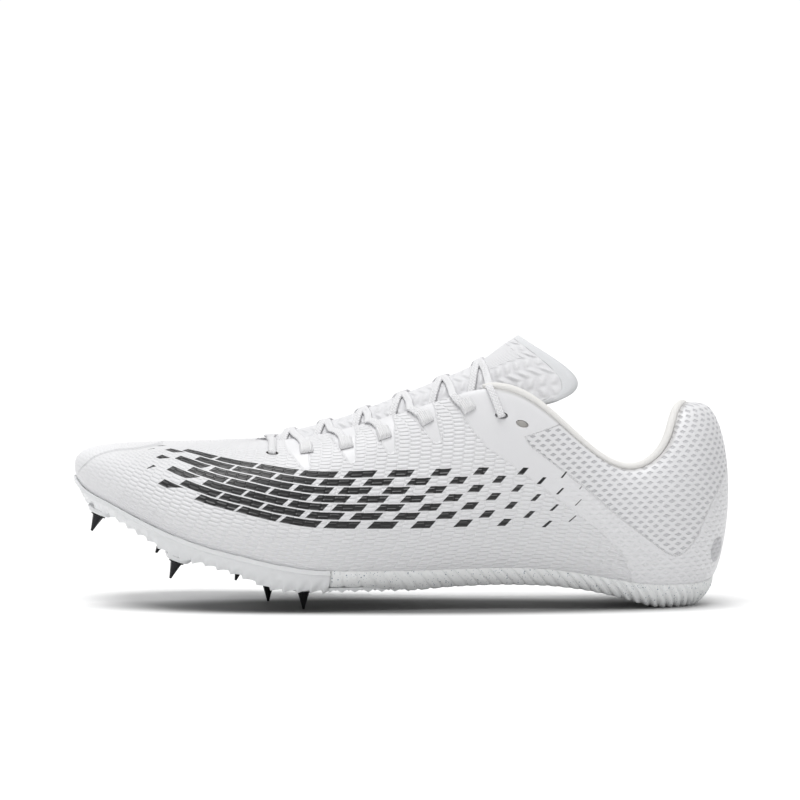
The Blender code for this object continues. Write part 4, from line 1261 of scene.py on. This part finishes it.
# %% Bosses and spikes
def spike_seat(along, across, stands):
    """Where a spike's flange meets its boss, and the way it points."""
    x = float(place(along))
    if stands:
        return Vector((x, BALL_WIDTH * across, SPIKE_LENGTH + FIT)), Vector((0, 0, -1))
    reach = 0.004
    slope = float(underside(x + reach) - underside(x - reach)) / (2 * reach)
    way = Vector((slope, 0, -1)).normalized()
    return Vector((x, BALL_WIDTH * across, float(underside(x)))) + way * BOSS_DROP, way


def turned_rings(centre, way, profile, sides):
    """Rings of a turned shape: profile holds distance along the way and radius."""
    side = way.cross(Vector((0, 1, 0))).normalized()
    other = way.cross(side)
    made = []
    for distance, radius in profile:
        middle = centre + way * distance
        made.append([tuple(middle + side * radius * math.cos(2 * math.pi * k / sides)
                           + other * radius * math.sin(2 * math.pi * k / sides)) for k in range(sides)])
    return made


steel, tree, surface = new_finish("black_spike", (0.022, 0.022, 0.024), 0.38)
surface.inputs["Metallic"].default_value = 0.7
grain(tree, surface, 1500.0, 0.04)
for name, along, across, stands in SPIKES:
    face, way = spike_seat(along, across, stands)
    reach = BOSS_ROOT + (float(underside(face.x)) - face.z if stands else BOSS_DROP)
    boss = show(name + "_boss", tube_grid(turned_rings(face, way, (
        (-reach, BOSS_RADIUS * 0.4), (-reach * 0.7, BOSS_RADIUS * 0.85),
        (-reach * 0.45, BOSS_RADIUS * 1.15), (-0.0007, BOSS_RADIUS * 0.98),
        (-0.0002, BOSS_RADIUS * 0.86), (0.0, BOSS_RADIUS * 0.74)), 36)), (clear,))
    boss.data.set_sharp_from_angle(angle=math.radians(35))
    slimming = [(SPIKE_FLANGE + 0.0001 + (SPIKE_LENGTH - SPIKE_FLANGE) * t,
                 SPIKE_TIP + (SPIKE_RADIUS * 0.74 - SPIKE_TIP) * (1 - t) ** 1.1)
                for t in np.linspace(0, 1, 12)]
    profile = [(FIT, SPIKE_RADIUS * 0.97), (FIT + 0.0002, SPIKE_RADIUS),
               (SPIKE_FLANGE - 0.0002, SPIKE_RADIUS), (SPIKE_FLANGE, SPIKE_RADIUS * 0.96)]
    spike = show(name + "_screwed", tube_grid(turned_rings(face, way, profile + slimming, 8)),
                 (steel,), smooth=False)
    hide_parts(name)
print("spikes", len(SPIKES), "each", triangles(spike), "triangles")

# %% [markdown]
# One flat lace closes the throat. A bar joins the two lowest holes. Each strand then comes up
# from under one rim, crosses the tongue, lies over the other rim and dives into the next hole
# from outside. Both ends stop inside the top laced holes.

# %% Surfaces under the laces
LACE_WIDTH = 0.0033
LACE_THICKNESS = 0.0013
LACE_CLEAR = 0.0003
LACED_HOLES = 7
LACE_STEP = 0.00025
PICOT = 0.0016
HOLE_PROUD = 0.0009
HOLE_DIP = 0.0004
HOLE_DEEP = 0.0022
HOLE_LIFT = 0.0012
PATH_POINTS = 34
EASE_ROUNDS = 24
UNDER_POINTS = 14
BEFORE_HOLE = 24


tongue_corners = [corner.co.copy() for corner in tongue.data.vertices]
tongue_faces = [tuple(face.vertices) for face in tongue.data.polygons]
first = len(tongue_corners)
wall_corners = [Vector(point) for point in sheet.reshape(-1, 3)]
wall_faces = []
for i in range(SHEET_COLUMNS):
    for k in range(SHEET_ROWS):
        here = first + i * (SHEET_ROWS + 1) + k
        ahead = here + SHEET_ROWS + 1
        wall_faces.append((here, ahead, ahead + 1, here + 1))
tongue_surface = BVHTree.FromPolygons(tongue_corners, tongue_faces)
wall_surface = BVHTree.FromPolygons(tongue_corners + wall_corners, wall_faces)
both_surfaces = BVHTree.FromPolygons(tongue_corners + wall_corners, tongue_faces + wall_faces)
SAFE = LACE_THICKNESS / 2 + LACE_CLEAR


def laid_on(tree, point):
    """The point lifted straight up until it lies on the surface."""
    hit = tree.ray_cast(Vector((point.x, point.y, 0.3)), Vector((0, 0, -1)))
    if hit[0] is None:
        return point.copy(), Vector((0, 0, 1))
    return hit[0] + hit[1] * SAFE, hit[1]


def pushed_out(tree, point, distance):
    """The point moved away from the nearest surface until it is clear of it."""
    near, normal, _, gap = tree.find_nearest(point)
    side = (point - near).dot(normal)
    if side < distance and gap < distance * 4:
        return near + normal * distance
    return point


def hole_points(side, k):
    """A lace's way through a hole: outside it, in it and inside the wall."""
    here, along, up, out = (Vector(v) for v in holes[side, k])
    return (here + out * HOLE_PROUD - up * HOLE_DIP, here - out * WALL / 2,
            here - out * (WALL + HOLE_DEEP) + up * HOLE_LIFT)


def strand_path(side_from, k_from, side_to, k_to, under):
    """Evenly spaced points of one strand; under says that it starts below the first rim."""
    start_holes = hole_points(side_from, k_from)
    end_holes = hole_points(side_to, k_to)
    way = []
    first = start_holes[0] if not under else start_holes[2]
    for t in np.linspace(0.0, 1.0, PATH_POINTS):
        flat = first.lerp(end_holes[0], float(t))
        own_side = under and t < 0.5
        point, _ = laid_on(tongue_surface if own_side else both_surfaces, flat)
        if t > 0.001 and t < 0.999:
            way.append(point)
    if under:
        path = [start_holes[2]] + way[1:] + list(end_holes)
    else:
        path = list(start_holes[::-1]) + way + list(end_holes)
    held = 3 if not under else 1
    for _ in range(EASE_ROUNDS):
        eased = [path[0]]
        for before, here, after in zip(path[:-2], path[1:-1], path[2:]):
            eased.append(here * 0.5 + (before + after) * 0.25)
        eased.append(path[-1])
        middle = []
        for i, point in enumerate(eased[held:-3], held):
            below_rim = under and i < UNDER_POINTS
            middle.append(pushed_out(tongue_surface if below_rim else both_surfaces, point, SAFE))
        path = path[:held] + middle + path[-3:]
    return even_points(path, LACE_STEP)


def even_points(path, step):
    """The same path as points a step apart, through a smooth curve."""
    corners = np.array([tuple(p) for p in path])
    gaps = np.linalg.norm(np.diff(corners, axis=0), axis=1)
    along = np.concatenate(([0.0], np.cumsum(gaps)))
    wanted = np.linspace(0, along[-1], max(8, int(along[-1] / step)))
    smooth = np.stack([monotone(along, corners[:, axis], wanted) for axis in range(3)], axis=1)
    return [Vector(p) for p in smooth]


def lace_rings(path, side_from, k_from, side_to, k_to, sides=16):
    """Flat rings square to the path, turned to lie on the surface and to fit the holes."""
    rings = []
    count = len(path)
    wide_start = Vector(holes[side_from, k_from][1])
    wide_end = Vector(holes[side_to, k_to][1])
    last_wide = None
    for i, here in enumerate(path):
        ahead = (path[min(i + 1, count - 1)] - path[max(i - 1, 0)]).normalized()
        near, normal, _, gap = both_surfaces.find_nearest(here)
        wide = ahead.cross(normal)
        run = i * LACE_STEP
        left = (count - 1 - i) * LACE_STEP
        for hole_wide, distance in ((wide_start, run), (wide_end, left)):
            pull = max(0.0, 1 - distance / 0.006)
            if pull > 0:
                hole_wide = hole_wide if wide.dot(hole_wide) >= 0 else -hole_wide
                wide = wide.normalized() * (1 - pull) + hole_wide * pull
        wide = (wide - ahead * wide.dot(ahead)).normalized()
        if last_wide is not None:
            if wide.dot(last_wide) < 0:
                wide = -wide
            wide = (wide * 0.16 + last_wide * 0.84).normalized()
            wide = (wide - ahead * wide.dot(ahead)).normalized()
        last_wide = wide
        high = wide.cross(ahead)
        picot = 1 + 0.10 * math.cos(2 * math.pi * run / PICOT)
        ring_of_points = []
        for k in range(sides):
            angle = 2 * math.pi * k / sides
            c, s = math.cos(angle), math.sin(angle)
            flat_across = math.copysign(abs(c) ** 0.75, c) * LACE_WIDTH / 2 * picot
            flat_high = math.copysign(abs(s) ** 0.8, s) * LACE_THICKNESS / 2
            ring_of_points.append(tuple(here + wide * flat_across + high * flat_high))
        rings.append(ring_of_points)
    return rings


braid, tree, surface = new_finish("lace_weave", (0.86, 0.86, 0.875), 0.8)
along_mm, around_mm = map_pair(tree, "wall")
plait_one = cell(plus(tree, along_mm, around_mm), 1.6)
plait_two = cell(minus(tree, along_mm, around_mm), 1.6)
plait = sum_of(tree, "MAXIMUM", plait_one, plait_two)
relief(tree, surface, plus(tree, times(tree, ramp(tree, plait, 0.3, 1.0), -0.22),
                           times(tree, noise(tree, 3000.0), 0.10)))
# Painted shade: the lace's colour darkens along the grooves between its plaits.
tree.links.new(blend_colour(tree, times(tree, ramp(tree, plait, 0.75, 1.0), 0.30),
                            (0.86, 0.86, 0.875), (0.66, 0.66, 0.66)), surface.inputs["Base Color"])
surface.inputs["Sheen Weight"].default_value = 0.2

# %% Lace strands
strands = [("outer", 0, "inner", 0, False)]
for k in range(LACED_HOLES - 1):
    strands.append(("outer", k, "inner", k + 1, True))
    strands.append(("inner", k, "outer", k + 1, True))
laces = []
arrivals = {}
lace_length = 0.0
for side_from, k_from, side_to, k_to, under in strands:
    path = strand_path(side_from, k_from, side_to, k_to, under)
    rings = lace_rings(path, side_from, k_from, side_to, k_to)
    strand = show("lace_%s_%d_%s_%d" % (side_from, k_from, side_to, k_to), tube_grid(rings), (braid,))
    laces.append(strand)
    arrivals[side_to, k_to] = path[-BEFORE_HOLE]
    lace_length += (len(path) - 1) * LACE_STEP
for strand in laces[:LACED_HOLES - 1]:
    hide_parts("lace_cross_%d" % (laces.index(strand) + 1))
print("lace strands", len(laces), "with", sum(triangles(s) for s in laces), "triangles,",
      round(1000 * lace_length), "mm in all")

# %% [markdown]
# Short ribbed tapes hold the lace at the middle holes. Each is a small grid raised like an open
# hood: flat on the wall at its lower edge and sides, and lifted over the lace at its upper edge.

# %% Lace tapes
TAPED_HOLES = (1, 2, 3, 4, 5)
TAPE_HALF_WIDE = 0.0028
TAPE_HALF_LONG = 0.0029
TAPE_LIFT = 0.0015
TAPE_SKIN = 0.0003
TAPE_STEPS = 16


def thin_piece(name, steps, points, chart, finish):
    """A small grid laid on points and given a skin."""
    shape = laid_grid(steps, steps, np.array(points), {"wall": np.array(chart)})
    bmesh.ops.recalc_face_normals(shape, faces=shape.faces)
    piece = show(name, shape, (finish,))
    skin = piece.modifiers.new("skin", "SOLIDIFY")
    skin.thickness = TAPE_SKIN
    skin.offset = 0
    return piece


tape, tree, surface = new_finish("ribbed_tape", (0.82, 0.82, 0.83), 0.7)
along_mm, around_mm = map_pair(tree, "wall")
relief(tree, surface, times(tree, cell(along_mm, 0.8), -0.22))
tapes = []
for side in ("outer", "inner"):
    for k in TAPED_HOLES:
        here, along, up, out = (Vector(way) for way in holes[side, k])
        toward = arrivals[side, k] - here
        toward = (toward - out * toward.dot(out)).normalized()
        toward = (toward * 0.25 + up * 0.75).normalized()
        across = toward.cross(out)
        points = []
        chart = []
        for i in range(TAPE_STEPS + 1):
            u = 2 * i / TAPE_STEPS - 1
            for j in range(TAPE_STEPS + 1):
                v = 2 * j / TAPE_STEPS - 1
                dome = (1 - u ** 6) * (1 - max(0.0, -v) ** 4)
                flat = here + across * TAPE_HALF_WIDE * u + toward * TAPE_HALF_LONG * (v - 0.1)
                near, normal, _, _ = both_surfaces.find_nearest(flat)
                points.append(tuple(near + normal * (TAPE_SKIN + 0.0001 + TAPE_LIFT * dome)))
                chart.append((TAPE_HALF_WIDE * u, TAPE_HALF_LONG * v))
        tapes.append(thin_piece("lace_tape_%s_%d" % (side, k), TAPE_STEPS, points, chart, tape))
print("lace tapes", len(tapes))

# %% [markdown]
# The top hole on each side stays empty. Behind it the wall is lined, so a small cloth patch lies
# against the wall's inner face and the hole looks grey instead of open.

# %% Patches behind the empty holes
PATCH_HALF_LONG = 0.0048
PATCH_HALF_TALL = 0.0030
PATCH_STEPS = 8
patch_cloth, tree, surface = new_finish("coated_mesh_patch", (0.86, 0.84, 0.81), 0.9)
grain(tree, surface, 1500.0, 0.2)
for side in ("outer", "inner"):
    here, along, up, out = (Vector(way) for way in holes[side, LACED_HOLES])
    points = []
    chart = []
    for u in np.linspace(-1, 1, PATCH_STEPS + 1):
        for v in np.linspace(-1, 1, PATCH_STEPS + 1):
            flat = here + along * PATCH_HALF_LONG * float(u) + up * PATCH_HALF_TALL * float(v)
            near, normal, _, _ = wall_surface.find_nearest(flat)
            points.append(tuple(near - normal * (WALL + TAPE_SKIN)))
            chart.append((PATCH_HALF_LONG * u, PATCH_HALF_TALL * v))
    thin_piece("hole_patch_" + side, PATCH_STEPS, points, chart, patch_cloth)
print("patches", round(2000 * PATCH_HALF_LONG, 1), "by", round(2000 * PATCH_HALF_TALL, 1), "mm")

# %% [markdown]
# The studio is a white floor and a white backdrop, bright enough to vanish into the page. A very
# wide overhead light models the form from above, and a weak one in front lifts the side. The floor
# darkens in a soft pool below the shoe, which deepens the contact shadow as in the picture.

# %% Floor and backdrop
def stage_sheet(name, size, finish):
    shape = bmesh.new()
    bmesh.ops.create_grid(shape, x_segments=1, y_segments=1, size=size)
    made = as_object(name, shape, (finish,))
    return made


floor_finish, floor_tree, floor_surface = new_finish("floor", (0.93, 0.93, 0.93), 0.7)
ground = floor_tree.nodes.new("ShaderNodeTexCoord")
ground_split = floor_tree.nodes.new("ShaderNodeSeparateXYZ")
floor_tree.links.new(ground.outputs["Object"], ground_split.inputs[0])
pool_x = sum_of(floor_tree, "MULTIPLY_ADD", ground_split.outputs[0], 1 / 0.150, -0.02)
pool_y = sum_of(floor_tree, "MULTIPLY_ADD", ground_split.outputs[1], 1 / 0.040, 0.45)
pool = sum_of(floor_tree, "SQRT", plus(floor_tree, times(floor_tree, pool_x, pool_x),
                                       times(floor_tree, pool_y, pool_y)))
pool_share = ramp(floor_tree, pool, 0.55, 1.05, 0.85, 0.0)
floor_tree.links.new(blend_colour(floor_tree, pool_share, (0.93, 0.93, 0.93), (0.04, 0.04, 0.04)),
                     floor_surface.inputs["Base Color"])
stage_sheet("floor", 4.0, floor_finish)
page_finish, _, page_surface = new_finish("backdrop", (0.0, 0.0, 0.0), 1.0)
adjust(page_surface, {"Emission Color": (1, 1, 1, 1), "Emission Strength": 1.02})
backdrop = stage_sheet("backdrop", 4.0, page_finish)
backdrop.rotation_euler = (math.pi / 2, 0, 0)
backdrop.location = (0, 3.9, 3.8)

# %% Lights
world = bpy.data.worlds.new("studio")
world.use_nodes = True
adjust(world.node_tree.nodes["Background"], {"Color": (1, 1, 1, 1), "Strength": 0.38})
bpy.context.scene.world = world
bpy.context.scene.view_settings.view_transform = "Standard"


def add_light(name, kind, power, place_at, aim_at):
    lamp = bpy.data.lights.new(name, kind)
    lamp.energy = power
    made = bpy.data.objects.new(name, lamp)
    made.location = place_at
    made.rotation_euler = (Vector(aim_at) - Vector(place_at)).to_track_quat("-Z", "Y").to_euler()
    bpy.context.scene.collection.objects.link(made)
    return lamp


overhead = add_light("overhead", "SUN", 2.4, (-0.12, -0.14, 1.0), (0, 0, 0))
overhead.angle = math.radians(40)
fill = add_light("front fill", "AREA", 1.2, (-0.5, -1.6, 0.7), (0, 0, 0.05))
fill.size = 1.0
print("lights", [lamp.name for lamp in bpy.data.lights])
